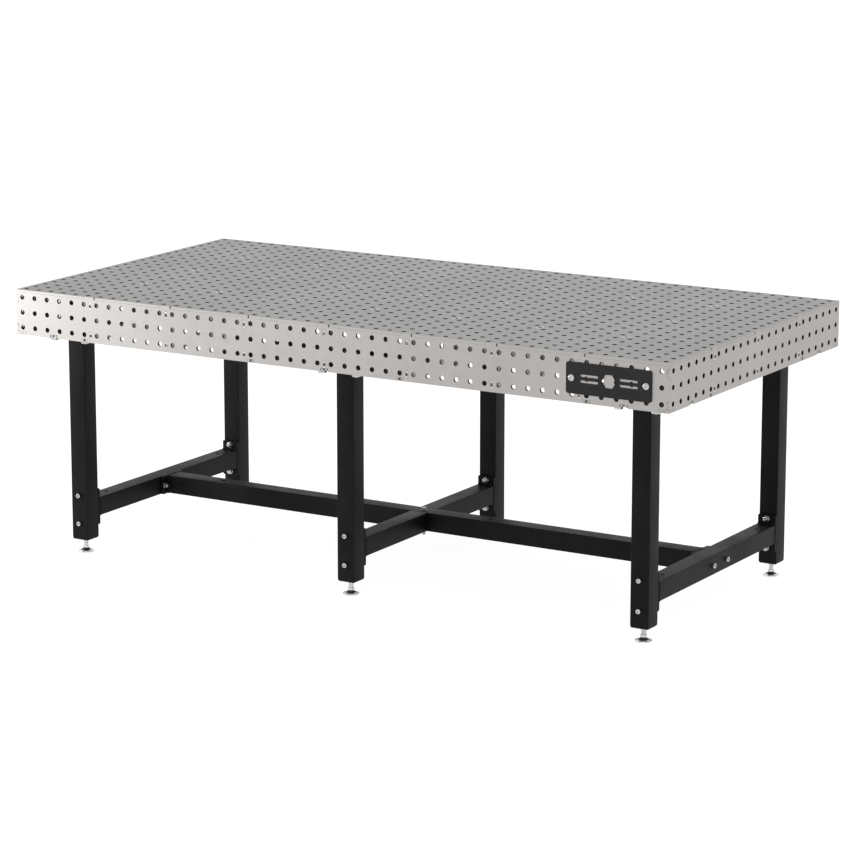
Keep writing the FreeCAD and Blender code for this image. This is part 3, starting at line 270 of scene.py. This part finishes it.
def lathe(profile, count=48):
    """Solid of revolution about Z from (radius, level) points, bottom first."""
    verts = []
    faces = []
    rings = []
    for radius, level in profile:
        if radius < 1e-9:
            rings.append((len(verts), 1))
            verts.append((0.0, 0.0, level))
            continue
        rings.append((len(verts), count))
        verts += [polar(radius, angle, level) for angle in full_turn(count)]
    for (low, low_n), (high, high_n) in zip(rings, rings[1:]):
        if low_n == high_n == count:
            faces += quads_between(count, low, high)
        elif low_n == 1 and high_n == count:
            faces += [(low, high + (i + 1) % count, high + i) for i in range(count)]
        elif high_n == 1 and low_n == count:
            faces += [(low + i, low + (i + 1) % count, high) for i in range(count)]
    return verts, faces


def rounded_square(width, height, radius, steps=6):
    """Counter-clockwise outline of a rectangle with rounded corners."""
    points = []
    for su, sv, start in ((1, -1, -90), (1, 1, 0), (-1, 1, 90), (-1, -1, 180)):
        for step in range(steps + 1):
            angle = math.radians(start + 90 * step / steps)
            points.append((su * (width / 2 - radius) + radius * math.cos(angle),
                           sv * (height / 2 - radius) + radius * math.sin(angle)))
    return points


def shrink(points, distance):
    """Offset a closed outline towards its left side, which is the material's side."""
    ring = np.array(points, float)
    back = ring - np.roll(ring, 1, axis=0)
    ahead = np.roll(ring, -1, axis=0) - ring
    back /= np.linalg.norm(back, axis=1)[:, None]
    ahead /= np.linalg.norm(ahead, axis=1)[:, None]
    left_back = np.stack([-back[:, 1], back[:, 0]], axis=1)
    left_ahead = np.stack([-ahead[:, 1], ahead[:, 0]], axis=1)
    together = 1 + (left_back * left_ahead).sum(axis=1)
    return ring + distance * (left_back + left_ahead) / np.maximum(together, 0.2)[:, None]


def prism(outline, low, high, bevel):
    """Solid between two levels with bevelled rims."""
    inner = shrink(outline, bevel)
    count = len(outline)
    verts = []
    rims = ((inner, low), (outline, low + bevel), (outline, high - bevel), (inner, high))
    for ring, level in rims:
        verts += [(u, v, level) for u, v in ring]
    faces = [tuple(reversed(range(count)))]
    for ring in range(3):
        faces += quads_between(count, ring * count, (ring + 1) * count)
    faces.append(tuple(range(3 * count, 4 * count)))
    return verts, faces


def hex_body(flats, low, high, bore=0.0, both=True):
    """Hexagon nut or head, corners turned down at one end or both, countersunk if bored."""
    count = 48
    rim = flats / 2 * 0.96
    slope = math.tan(math.radians(30))
    angles = full_turn(count)
    sides = [hexagon_reach(flats, a) for a in angles]
    rings = [[(rim, low) if both else (r, low) for r in sides],
             [(r, low + (r - rim) * slope if both else low) for r in sides],
             [(r, high - (r - rim) * slope) for r in sides],
             [(rim, high)] * count]
    if not both:
        rings = rings[1:]
    if bore:
        chamfer = 0.6 * MM
        sink = bore + chamfer
        rings = ([[(bore, low + chamfer)] * count, [(sink, low)] * count] + rings
                 + [[(sink, high)] * count, [(bore, high - chamfer)] * count])
    verts = []
    for ring in rings:
        verts += [polar(r, a, z) for (r, z), a in zip(ring, angles)]
    faces = []
    for index in range(len(rings) - 1):
        faces += quads_between(count, index * count, (index + 1) * count)
    if bore:
        faces += quads_between(count, (len(rings) - 1) * count, 0)
    else:
        faces.append(tuple(reversed(range(count))))
        faces.append(tuple(range((len(rings) - 1) * count, len(rings) * count)))
    return verts, faces


def thread(radius, pitch, low, high, count=32):
    """Right-hand external thread with flat crests, chamfered at the upper end.

    The section gives (share of the pitch, share of the depth). Each turn's seam joins one turn up.
    """
    depth = 0.58 * pitch
    section = ((0.0, 0.0), (0.36, 1.0), (0.5, 1.0), (0.86, 0.0))
    verts = []
    rows = 0
    turn = math.floor(low / pitch) - 1
    while turn * pitch < high + pitch:
        for start, fall in section:
            for i in range(count):
                angle = 2 * math.pi * i / count
                level = (turn + start + i / count) * pitch
                reach = radius - depth * fall
                reach = min(reach, radius - depth + max(0.0, high - level))
                verts.append(polar(reach, angle, min(max(level, low), high)))
            rows += 1
        turn += 1
    faces = []
    for row in range(rows - 1):
        lower = row * count
        upper = lower + count
        for i in range(count - 1):
            faces.append((lower + i, lower + i + 1, upper + i + 1, upper + i))
        next_turn = lower + len(section) * count
        if next_turn + count < len(verts):
            faces.append((lower + count - 1, next_turn, next_turn + count, upper + count - 1))
        elif next_turn + count == len(verts):
            faces.append((lower + count - 1, next_turn, upper + count - 1))
    return clean(verts, faces)


def clean(verts, faces):
    """Weld coincident points, and drop repeated faces and faces that have no area."""
    work = bmesh.new()
    made = [work.verts.new(v) for v in verts]
    for face in faces:
        try:
            work.faces.new([made[i] for i in face])
        except ValueError:
            pass
    bmesh.ops.remove_doubles(work, verts=work.verts, dist=1e-6)
    bmesh.ops.dissolve_degenerate(work, edges=work.edges, dist=1e-6)
    flat = [f for f in work.faces if f.calc_area() < 1e-12]
    bmesh.ops.delete(work, geom=flat, context="FACES")
    work.verts.index_update()
    result = ([tuple(v.co) for v in work.verts],
              [tuple(v.index for v in face.verts) for face in work.faces])
    work.free()
    return result


def bead(path, radius, ripple=2.4 * MM, sides=8):
    """Weld bead along a closed path of 3-D points: overlapping ripples on a round section."""
    points = [Vector(p) for p in path]
    lengths = [(points[(i + 1) % len(points)] - p).length for i, p in enumerate(points)]
    total = sum(lengths)
    steps = max(24, int(total / (0.9 * MM)))
    samples = []
    index = 0
    run = 0.0
    for step in range(steps):
        at = total * step / steps
        while at > run + lengths[index]:
            run += lengths[index]
            index += 1
        part = (at - run) / lengths[index]
        samples.append(points[index].lerp(points[(index + 1) % len(points)], part))
    centre = sum(points, Vector()) / len(points)
    normal = (points[0] - centre).cross(points[len(points) // 4] - centre).normalized()
    verts = []
    for step, here in enumerate(samples):
        ahead = (samples[(step + 1) % steps] - samples[step - 1]).normalized()
        out = ahead.cross(normal).normalized()
        wave = abs(math.sin(math.pi * total * step / steps / ripple))
        size = radius * (0.86 + 0.14 * wave)
        for angle in full_turn(sides):
            verts.append(here + size * (math.cos(angle) * out + math.sin(angle) * normal))
    faces = []
    for step in range(steps):
        here = step * sides
        there = (step + 1) % steps * sides
        faces += [(here + k, there + k, there + (k + 1) % sides, here + (k + 1) % sides)
                  for k in range(sides)]
    return [tuple(v) for v in verts], faces


# ------------------------------------------------------------------ reading the CAD frame
def mesh_arrays(node):
    """Points and triangles of a CAD node, with coincident points merged."""
    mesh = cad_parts[node].data
    mesh.calc_loop_triangles()
    points = np.array([v.co for v in mesh.vertices], float)
    keys, inverse = np.unique(np.round(points * 1e6).astype(np.int64), axis=0, return_inverse=True)
    triangles = np.array([t.vertices for t in mesh.loop_triangles], int)
    return keys / 1e6, inverse.reshape(-1)[triangles]


def islands(node):
    """(low, high) corners of every separate solid in a CAD node, in a steady order."""
    points, triangles = mesh_arrays(node)
    label = np.arange(len(points))
    while True:
        before = label.copy()
        low = label[triangles].min(axis=1)
        for corner in range(3):
            np.minimum.at(label, triangles[:, corner], low)
        label = label[label]
        if (label == before).all():
            break
    boxes = []
    for root in np.unique(label):
        own = points[label == root]
        boxes.append((Vector(own.min(axis=0)), Vector(own.max(axis=0))))
    return sorted(boxes, key=lambda box: tuple(round(c, 4) for c in box[0]))


def middle(box):
    """Centre of a box."""
    return (box[0] + box[1]) / 2


def face_loops(node):
    """Thickness axis, levels and boundary loops of a flat plate, material on the left."""
    points, triangles = mesh_arrays(node)
    low = points.min(axis=0)
    high = points.max(axis=0)
    axis = int(np.argmin(high - low))
    on_face = np.abs(points[:, axis] - high[axis]) < 2e-6
    edges = set()
    for triangle in triangles[on_face[triangles].all(axis=1)]:
        for a, b in ((0, 1), (1, 2), (2, 0)):
            edge = (int(triangle[a]), int(triangle[b]))
            if edge[::-1] in edges:
                edges.remove(edge[::-1])
            else:
                edges.add(edge)
    following = dict(edges)
    loops = []
    flat = points[:, [(axis + 1) % 3, (axis + 2) % 3]]
    while following:
        start, here = next(iter(following.items()))
        loop = [start]
        del following[start]
        while here != start:
            loop.append(here)
            here = following.pop(here)
        loops.append(flat[loop])
    loops.sort(key=lambda loop: (round(loop[:, 0].min(), 5), round(loop[:, 1].min(), 5)))
    return axis, low[axis], high[axis], loops


LARGEST_HOLE = 14 * MM
OUT_OF_ROUND = 0.25 * MM


def refine_circle(loop, count):
    """A round hole's loop redrawn with more points, or None if it isn't round."""
    centre = (loop.min(axis=0) + loop.max(axis=0)) / 2
    reach = np.linalg.norm(loop - centre, axis=1)
    uneven = reach.max() - reach.min() > OUT_OF_ROUND
    if len(loop) < 6 or reach.max() > LARGEST_HOLE or uneven:
        return None
    radius = reach.max()
    angles = -2 * np.pi * (np.arange(count) + 0.5) / count
    return centre + radius * np.stack([np.cos(angles), np.sin(angles)], axis=1)


def inside(point, loop):
    """True if a point lies within a closed outline."""
    u, v = loop[:, 0], loop[:, 1]
    u2, v2 = np.roll(u, -1), np.roll(v, -1)
    crosses = (v > point[1]) != (v2 > point[1])
    with np.errstate(divide="ignore", invalid="ignore"):
        at = u + (point[1] - v) * (u2 - u) / (v2 - v)
    return bool((crosses & (point[0] < at)).sum() % 2)


def fill(loops, round_loop):
    """Triangles that fill the material between loops, as indices into the joined loops."""
    joined = np.concatenate(loops)
    owner = np.concatenate([np.full(len(loop), k) for k, loop in enumerate(loops)])
    edges = []
    start = 0
    for loop in loops:
        count = len(loop)
        edges += [(start + i, start + (i + 1) % count) for i in range(count)]
        start += count
    flat = [Vector((float(u) * 1000, float(v) * 1000)) for u, v in joined]
    _, _, faces, origin, _, _ = delaunay_2d_cdt(flat, edges, [], 1, 1e-5, True)
    kept = []
    for face in faces:
        corners = [origin[i][0] for i in face]
        own = owner[corners[0]]
        if own == owner[corners[1]] == owner[corners[2]]:
            if round_loop[own]:
                continue
            within = inside(joined[corners].mean(axis=0), loops[own])
            if within == hole_loop(loops[own]):
                continue
        kept.append(tuple(corners))
    return kept


def hole_loop(loop):
    """True if the loop runs clockwise, as a hole's does."""
    u, v = loop[:, 0], loop[:, 1]
    return float((u * np.roll(v, -1) - v * np.roll(u, -1)).sum()) < 0


def fine_plate(node, slot, face_material, count=28, bevel=0.4 * MM, cut=None, bore=BORE_PAINTED_SHADE):
    """Redraw a flat CAD plate with smooth holes, broken edges and its cut faces."""
    axis, low, high, loops = face_loops(node)
    fine = []
    is_round = []
    for loop in loops:
        circle = refine_circle(loop, count)
        is_round.append(circle is not None)
        fine.append(loop if circle is None else circle)
    eased = [shrink(loop, bevel) for loop in fine]
    joined = np.concatenate(fine)
    rims = np.concatenate(eased)
    total = len(joined)
    verts = np.zeros((4 * total, 3))
    spans = ((rims, high), (joined, high - bevel), (joined, low + bevel), (rims, low))
    for ring, (points, level) in enumerate(spans):
        part = verts[ring * total:(ring + 1) * total]
        part[:, (axis + 1) % 3] = points[:, 0]
        part[:, (axis + 2) % 3] = points[:, 1]
        part[:, axis] = level
    triangles = fill(eased, is_round)
    faces = triangles + [tuple(3 * total + i for i in reversed(t)) for t in triangles]
    slots = [0] * len(faces)
    start = 0
    for number, loop in enumerate(fine):
        length = len(loop)
        wall = 2 if is_round[number] else 1
        for i in range(length):
            here = start + i
            there = start + (i + 1) % length
            for ring in range(3):
                a = ring * total
                b = a + total
                faces.append((a + here, b + here, b + there, a + there))
                slots.append(wall)
        start += length
    soup = Soup()
    soup.verts = [tuple(v) for v in verts]
    soup.faces = faces
    soup.slots = slots
    return soup.piece(node + "_skin", [node], slot, [face_material, cut or CUTS[axis], bore])


# ------------------------------------------------------------------ the sheet parts
fine_plate("top_plate", "top_steel", TOP_FACE, cut=SIDE_FACE_X, bore=TOP_BORE_PAINTED_SHADE)
for side in ("front", "rear"):
    fine_plate(side + "_apron", "apron_steel", SIDE_FACE_X)
for side in ("left", "right"):
    fine_plate(side + "_apron", "apron_steel", SIDE_FACE_Y)
for number in range(1, 8):
    fine_plate("cross_rib_%d" % number, "rib_steel", RIB_FACE_Y, cut=RIB_CUTS_PAINTED_HIGHLIGHT[0])
for side in ("front", "middle", "rear"):
    fine_plate("long_rib_" + side, "rib_steel", RIB_FACE_X, cut=RIB_CUTS_PAINTED_HIGHLIGHT[1])
for spot in SPOTS:
    fine_plate("mount_plate_" + spot, "rib_steel", RIB_FACE_X)
fine_plate("nameplate", "nameplate_coat", PLATE_BLACK, count=40, bevel=0.5 * MM,
           cut=PLATE_BLACK, bore=PLATE_BLACK)


# ------------------------------------------------------------------ tubes and plates
TUBE_CORNER = 2 * MM
TUBE_INNER_CORNER = 0.5 * MM
TUBE_WALL = 3 * MM


def tube_solid(box, axis):
    """Hollow square tube between two corners."""
    low, high = box
    size = high - low
    across = [(axis + 1) % 3, (axis + 2) % 3]
    outer = rounded_square(size[across[0]], size[across[1]], TUBE_CORNER)
    inner = rounded_square(size[across[0]] - 2 * TUBE_WALL, size[across[1]] - 2 * TUBE_WALL,
                           TUBE_INNER_CORNER)
    count = len(outer)
    centre = middle(box)
    verts = []
    for ring, level in ((outer, low), (outer, high), (inner, high), (inner, low)):
        for u, v in ring:
            point = Vector(centre)
            point[across[0]] += u
            point[across[1]] += v
            point[axis] = level[axis]
            verts.append(tuple(point))
    faces = []
    for a, b in ((0, 1), (1, 2), (2, 3), (3, 0)):
        faces += quads_between(count, a * count, b * count)
    return verts, faces


def drilled(shape, holes):
    """Cut cylinders (point, direction, radius, depth) out of a closed shape."""
    cutter = Soup()
    for point, direction, radius, depth in holes:
        turn = UP.rotation_difference(Vector(direction)).to_matrix().to_4x4()
        rod = lathe([(0, -depth), (radius, -depth), (radius, depth), (0, depth)], 32)
        cutter.add(rod, Matrix.Translation(point) @ turn)
    work = []
    for verts, faces in (shape, (cutter.verts, cutter.faces)):
        mesh = bpy.data.meshes.new("cut")
        mesh.from_pydata(verts, [], faces)
        work.append(bpy.data.objects.new("cut", mesh))
        bpy.context.scene.collection.objects.link(work[-1])
    cut = work[0].modifiers.new("holes", "BOOLEAN")
    cut.object = work[1]
    cut.operation = "DIFFERENCE"
    cut.solver = "EXACT"
    bpy.context.view_layer.update()
    made = work[0].evaluated_get(bpy.context.evaluated_depsgraph_get()).data
    result = ([tuple(v.co) for v in made.vertices], [tuple(f.vertices) for f in made.polygons])
    for item in work:
        bpy.data.objects.remove(item)
    return result


def square_path(box, axis, level):
    """Closed path round a tube, for a weld bead."""
    path = []
    size = box[1] - box[0]
    u_axis, v_axis = (axis + 1) % 3, (axis + 2) % 3
    for u, v in rounded_square(size[u_axis], size[v_axis], TUBE_CORNER, 5):
        point = middle(box)
        point[u_axis] += u
        point[v_axis] += v
        point[axis] = level
        path.append(point)
    return path


BEAD = 2.2 * MM
BEAD_INSET = 0.6 * MM
VENT = 7 * MM
VENT_DEPTH = 8 * MM
CROSS_VENT_INSET = 80 * MM
LONG_VENTS = [x * MM for x in (-810, -261, 261, 810)]

for spot in SPOTS:
    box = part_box("leg_" + spot)
    soup = Soup().add(tube_solid(box, 2))
    top = box[1].z - BEAD_INSET
    soup.add(bead(square_path(box, 2, top), BEAD))
    soup.piece("leg_%s_tube" % spot, ["leg_" + spot], "black_coat", [BLACK])


def tube_piece(node, axis, bead_ends, vents=()):
    """Stretcher tube with a weld bead at its ends and vent holes in its upper wall."""
    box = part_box(node)
    shape = tube_solid(box, axis)
    if vents:
        holes = []
        for along in vents:
            point = middle(box)
            point[axis] = along
            point.z = box[1].z
            holes.append((point, (0, 0, 1), VENT, VENT_DEPTH))
        shape = drilled(shape, holes)
    soup = Soup().add(shape)
    for end in bead_ends:
        inward = BEAD_INSET if end == 0 else -BEAD_INSET
        level = box[end][axis] + inward
        soup.add(bead(square_path(box, axis, level), BEAD))
    return soup.piece(node + "_tube", [node], "black_coat", [BLACK])


for side in ("left", "right"):
    low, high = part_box("cross_stretcher_" + side)
    tube_piece("cross_stretcher_" + side, 1, (0, 1),
               (low.y + CROSS_VENT_INSET, high.y - CROSS_VENT_INSET))
tube_piece("middle_stretcher_front", 1, (0,))
tube_piece("middle_stretcher_rear", 1, (1,))
tube_piece("long_stretcher", 0, (0, 1), LONG_VENTS)
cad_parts["centre_sleeve"].data.materials.clear()
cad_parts["centre_sleeve"].data.materials.append(BLACK)


def thin_axis(box):
    """Axis along which a box is shortest."""
    size = box[1] - box[0]
    return min(range(3), key=lambda k: size[k])


def long_axis(box):
    """Axis along which a box is longest."""
    size = box[1] - box[0]
    return max(range(3), key=lambda k: size[k])


def slabs(node, radius, bevel=0.7 * MM):
    """Flat welded plates redrawn with rounded corners and broken edges."""
    soup = Soup()
    for box in islands(node):
        size = box[1] - box[0]
        thin = thin_axis(box)
        outline = rounded_square(size[(thin + 1) % 3], size[(thin + 2) % 3], radius)
        verts, faces = prism(outline, -size[thin] / 2, size[thin] / 2, bevel)
        centre = middle(box)
        placed = []
        for u, v, w in verts:
            point = Vector(centre)
            point[(thin + 1) % 3] += u
            point[(thin + 2) % 3] += v
            point[thin] += w
            placed.append(tuple(point))
        soup.add((placed, faces))
    return soup.piece(node + "_slabs", [node], "black_coat", [BLACK])


slabs("leg_flanges", radius=10 * MM)
slabs("leg_end_plates", radius=5 * MM)
slabs("tee_end_plates", radius=5 * MM)

CAP_CORNER = 3.5 * MM
CAP_TAPER = 4 * MM
CAP_HEIGHT = 8 * MM

caps = Soup()
for box in islands("leg_end_caps"):
    side = box[1].x - box[0].x
    outline = rounded_square(side, side, CAP_CORNER)
    tapered = shrink(outline, CAP_TAPER)
    count = len(outline)
    verts = [(u, v, 0.0) for u, v in tapered]
    verts += [(u, v, CAP_TAPER) for u, v in outline]
    verts += [(u, v, CAP_HEIGHT) for u, v in outline]
    faces = [tuple(reversed(range(count)))] + quads_between(count, 0, count)
    faces += quads_between(count, count, 2 * count) + [tuple(range(2 * count, 3 * count))]
    centre = middle(box)
    caps.add((verts, faces), Matrix.Translation((centre.x, centre.y, box[0].z)))
caps.piece("leg_end_cap_plates", ["leg_end_caps"], "black_coat", [BLACK])


# ------------------------------------------------------------------ fasteners
def facing(box, direction, end):
    """Matrix that stands +Z along a direction at one end of a box's axis."""
    direction = Vector(direction)
    centre = middle(box)
    half = (box[1] - box[0]) / 2
    reach = abs(direction.x) * half.x + abs(direction.y) * half.y + abs(direction.z) * half.z
    seat = centre + direction * reach * end
    return Matrix.Translation(seat) @ UP.rotation_difference(direction).to_matrix().to_4x4()


def outward(box, axis):
    """Unit vector along an axis, away from the middle of the table."""
    direction = Vector((0, 0, 0))
    direction[axis] = 1.0 if middle(box)[axis] > 0 else -1.0
    return direction


def washers(node, bore):
    """Flat washers with softened outer rims; bore is a radius."""
    soup = Soup()
    for box in islands(node):
        axis = thin_axis(box)
        size = box[1] - box[0]
        outer = size[(axis + 1) % 3] / 2
        thick = size[axis] / 2
        soft = 0.35 * MM
        profile = [(bore, -thick), (outer - soft, -thick), (outer, soft - thick),
                   (outer, thick - soft), (outer - soft, thick), (bore, thick), (bore, -thick)]
        direction = Vector([1.0 if k == axis else 0.0 for k in range(3)])
        soup.add(lathe(profile, 40), facing(box, direction, 0))
    return soup.piece(node + "_rings", [node], "zinc", [ZINC])


def nuts(node, flats, bore):
    """Hexagon nuts; bore is a radius."""
    soup = Soup()
    for box in islands(node):
        axis = thin_axis(box)
        height = (box[1] - box[0])[axis]
        direction = Vector([1.0 if k == axis else 0.0 for k in range(3)])
        soup.add(hex_body(flats, -height / 2, height / 2, bore), facing(box, direction, 0))
    return soup.piece(node + "_hex", [node], "zinc", [ZINC])


def button_head(radius, height, socket):
    """Domed head with a hexagon socket; its seat is at Z = 0."""
    soup = Soup()
    count = 48
    rim = 0.3 * MM
    flat = radius * 0.46
    skirt = 0.18
    profile = [(0, 0), (radius - rim, 0), (radius, rim), (radius, height * skirt)]
    for step in range(1, 9):
        angle = math.radians(90 * step / 8)
        profile.append((flat + (radius - flat) * math.cos(angle),
                        height * (skirt + 0.82 * math.sin(angle))))
    mouth = socket / 2 * 1.08
    profile.append((mouth, height))
    profile.append((mouth - rim, height - rim))
    soup.add(lathe(profile, count))
    angles = full_turn(count)
    hexagon = [min(hexagon_reach(socket, a), mouth) * 0.98 for a in angles]
    verts = [polar(mouth - rim, a, height - rim) for a in angles]
    for level in (height - 0.5 * MM, height * 0.42):
        verts += [polar(reach, a, level) for reach, a in zip(hexagon, angles)]
    faces = quads_between(count, 0, count) + quads_between(count, count, 2 * count)
    faces.append(tuple(range(2 * count, 3 * count)))
    soup.add((verts, faces))
    return clean(soup.verts, soup.faces)


def cap_head(radius, height, socket):
    """Cylindrical head with a knurled side, a chamfered rim and a hexagon socket."""
    count = 72
    angles = full_turn(count)
    rim = 0.7 * MM
    sink = 0.5 * MM
    mouth = socket / 2 / math.cos(math.pi / 6)
    ridge = 0.12 * MM
    rings = [(radius - ridge, 0, 0), (radius, ridge, ridge), (radius, height - rim - ridge, ridge),
             (radius - ridge, height - rim, 0), (radius - rim, height, 0),
             (mouth + sink, height, 0), (mouth, height - sink, 0)]
    verts = []
    for size, level, groove in rings:
        verts += [polar(size - (groove if i % 2 else 0), a, level) for i, a in enumerate(angles)]
    for level in (height - 0.6 * MM, height * 0.5):
        verts += [polar(hexagon_reach(socket, a), a, level) for a in angles]
    faces = [tuple(reversed(range(count)))]
    for step in range(len(rings) + 1):
        faces += quads_between(count, step * count, (step + 1) * count)
    last = (len(rings) + 1) * count
    faces.append(tuple(range(last, last + count)))
    return clean(verts, faces)


END_GAP = 0.05 * MM
SEAT_GAP = 0.1 * MM


def shank(soup, place, radius, pitch, plain, length, tip):
    """Add a screw's shank below its head: plain part, thread, flat end."""
    flip = place @ Matrix.Rotation(math.pi, 4, "X")
    soup.add(lathe([(radius, SEAT_GAP), (radius, plain)], 32), flip)
    soup.add(thread(radius, pitch, plain, length), flip)
    soup.add(lathe([(tip, length - END_GAP), (0, length - END_GAP)], 32), flip)


def screws(node, diameter, pitch, head, shape):
    """Screws: head outward, threaded at the far end."""
    soup = Soup()
    for box in islands(node):
        axis = long_axis(box)
        length = (box[1] - box[0])[axis] - head
        place = facing(box, outward(box, axis), 1) @ Matrix.Translation((0, 0, -head))
        soup.add(shape, place)
        shank(soup, place, diameter / 2, pitch, length * 0.55, length, diameter / 2 - pitch)
    return soup.piece(node + "_turned", [node], "zinc", [ZINC])


def hex_bolts(node, boxes, flats, head, radius, pitch, plain, tip):
    """Hexagon bolts that hang from their heads."""
    soup = Soup()
    for box in boxes:
        place = facing(box, (0, 0, 1), 1) @ Matrix.Translation((0, 0, -head))
        length = (box[1] - box[0]).z - head
        soup.add(hex_body(flats, 0, head, both=False), place)
        shank(soup, place, radius, pitch, plain, length, tip)
    return soup.piece(node + "_turned", [node], "zinc", [ZINC])


washers("flange_washers", bore=8.5 * MM)
nuts("flange_nuts", flats=24 * MM, bore=8.1 * MM)
hex_bolts("flange_bolts", islands("flange_bolts"), flats=24 * MM, head=10 * MM, radius=8 * MM,
          pitch=2 * MM, plain=6 * MM, tip=6.2 * MM)
washers("tie_washers", bore=5.4 * MM)
nuts("tie_nuts", flats=17 * MM, bore=5.05 * MM)
screws("tie_screws", diameter=10 * MM, pitch=1.5 * MM, head=10 * MM,
       shape=cap_head(radius=8 * MM, height=10 * MM, socket=8 * MM))
washers("nameplate_washers", bore=6.5 * MM)
nuts("nameplate_nuts", flats=18 * MM, bore=6.05 * MM)
screws("nameplate_screws", diameter=12 * MM, pitch=1.75 * MM, head=5 * MM,
       shape=button_head(radius=11 * MM, height=5 * MM, socket=8 * MM))
hex_bolts("centre_bolt", [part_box("centre_bolt")], flats=17 * MM, head=6.4 * MM, radius=5 * MM,
          pitch=1.5 * MM, plain=50 * MM, tip=3.6 * MM)


# ------------------------------------------------------------------ levelling feet
def pad_shape(rim):
    """Pad: plated disc with a thick rim, blackened cone, round socket that holds the ball."""
    disc = [(0, 0), (rim - 0.8 * MM, 0), (rim - 0.2 * MM, 0.3 * MM), (rim, 0.9 * MM),
            (rim, 3.8 * MM), (rim - 0.3 * MM, 4.6 * MM), (rim - 1.1 * MM, 5.0 * MM),
            (rim - 5.0 * MM, 5.6 * MM), (rim - 9.0 * MM, 6.2 * MM)]
    cone = [(rim - 9.0 * MM, 6.2 * MM), (rim - 9.6 * MM, 6.6 * MM), (14.2 * MM, 8.0 * MM),
            (11.4 * MM, 9.8 * MM), (10.2 * MM, 11.4 * MM), (9.4 * MM, 12.6 * MM),
            (8.6 * MM, 13.2 * MM), (7.0 * MM, 13.2 * MM)]
    socket = [(7.0 * MM, 13.2 * MM), (5.6 * MM, 12.6 * MM), (6.1 * MM, 10.4 * MM),
              (6.1 * MM, 7.0 * MM), (4.4 * MM, 4.2 * MM), (0, 2.4 * MM)]
    return Soup().add(lathe(disc, 72)).add(lathe(cone, 72), slot=1).add(lathe(socket, 72), slot=1)


BALL = 6 * MM
BALL_LEVEL = 8.5 * MM
NECK = 4.6 * MM
COLLAR_FLATS = 19 * MM
COLLAR_LOW = 14 * MM
COLLAR_HIGH = 20.5 * MM
RELIEF = 7.2 * MM
STUD = 8 * MM
STUD_PITCH = 2 * MM
STUD_TIP = 6.4 * MM

for spot in SPOTS:
    low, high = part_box("foot_pad_" + spot)
    centre = Vector(((low.x + high.x) / 2, (low.y + high.y) / 2, low.z))
    shape = pad_shape((high.x - low.x) / 2)
    soup = Soup()
    soup.add((shape.verts, shape.faces, shape.slots), Matrix.Translation(centre))
    soup.piece("foot_pad_%s_turned" % spot, ["foot_pad_" + spot], "pad_chrome", [CHROME, OXIDE],
               "pad_" + spot, 28)

    low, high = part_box("foot_stud_" + spot)
    soup = Soup()
    place = Matrix.Translation(centre)
    ball = [(0, 2.5 * MM)]
    for step in range(1, 12):
        angle = math.radians(-90 + 150 * step / 12)
        ball.append((BALL * math.cos(angle), BALL_LEVEL + BALL * math.sin(angle)))
    ball += [(NECK, 12.6 * MM), (NECK, COLLAR_LOW + 0.1 * MM)]
    soup.add(lathe(ball, 40), place)
    soup.add(hex_body(COLLAR_FLATS, COLLAR_LOW, COLLAR_HIGH), place)
    soup.add(lathe([(RELIEF, COLLAR_HIGH - 0.1 * MM), (RELIEF, 22 * MM)], 40), place)
    soup.add(thread(STUD, STUD_PITCH, 21.2 * MM, high.z), place)
    soup.add(lathe([(STUD_TIP, high.z - END_GAP), (0, high.z - END_GAP)], 40), place)
    soup.piece("foot_stud_%s_thread" % spot, ["foot_stud_" + spot], "stud_chrome", [CHROME],
               "stud_" + spot, 28)


# ------------------------------------------------------------------ floor, light and camera
def pale_floor(half=90.0, level=-0.4 * MM):
    """Plain pale floor that reaches out of sight."""
    corners = [(-half, -half, level), (half, -half, level), (half, half, level), (-half, half, level)]
    mesh = bpy.data.meshes.new("floor")
    mesh.from_pydata(corners, [], [(0, 1, 2, 3)])
    floor = bpy.data.objects.new("floor", mesh)
    bpy.context.scene.collection.objects.link(floor)
    paint = bpy.data.materials.new("floor_paper")
    paint.use_nodes = True
    shader = paint.node_tree.nodes["Principled BSDF"]
    shader.inputs["Base Color"].default_value = (0.25, 0.25, 0.25, 1)
    shader.inputs["Emission Color"].default_value = (1, 1, 1, 1)
    shader.inputs["Emission Strength"].default_value = 0.88
    shader.inputs["Roughness"].default_value = 0.9
    shader.inputs["Specular IOR Level"].default_value = 0.0
    mesh.materials.append(paint)


def softbox(name, place, aim, size, power):
    """White rectangular light at a place, turned towards an aim."""
    light = bpy.data.lights.new(name, "AREA")
    light.shape = "RECTANGLE"
    light.size, light.size_y = size
    light.energy = power
    lamp = bpy.data.objects.new(name, light)
    bpy.context.scene.collection.objects.link(lamp)
    lamp.location = place
    lamp.rotation_euler = (Vector(aim) - Vector(place)).to_track_quat("-Z", "Y").to_euler()


pale_floor()
softbox("key_left", place=(-3.1, -1.9, 0.9), aim=(-1.2, -0.6, 0.8), size=(0.9, 0.8), power=40)
softbox("overhead", place=(0, 0, 6.0), aim=(0, 0, 0), size=(7.0, 5.0), power=25)

world = bpy.data.worlds.new("studio")
bpy.context.scene.world = world
world.use_nodes = True
world.node_tree.nodes["Background"].inputs[0].default_value = (1, 1, 1, 1)
world.node_tree.nodes["Background"].inputs[1].default_value = 1.0

camera = bpy.data.cameras.new("camera")
camera.sensor_width = 36.0
camera.lens = 142.06
camera.clip_end = 300
eye = bpy.data.objects.new("camera", camera)
bpy.context.scene.collection.objects.link(eye)
eye.location = (5.6287, -9.3374, 2.8855)
eye.rotation_euler = (math.radians(77.528), 0, math.radians(31.062))
bpy.context.scene.camera = eye
bpy.context.scene.view_settings.view_transform = "Standard"
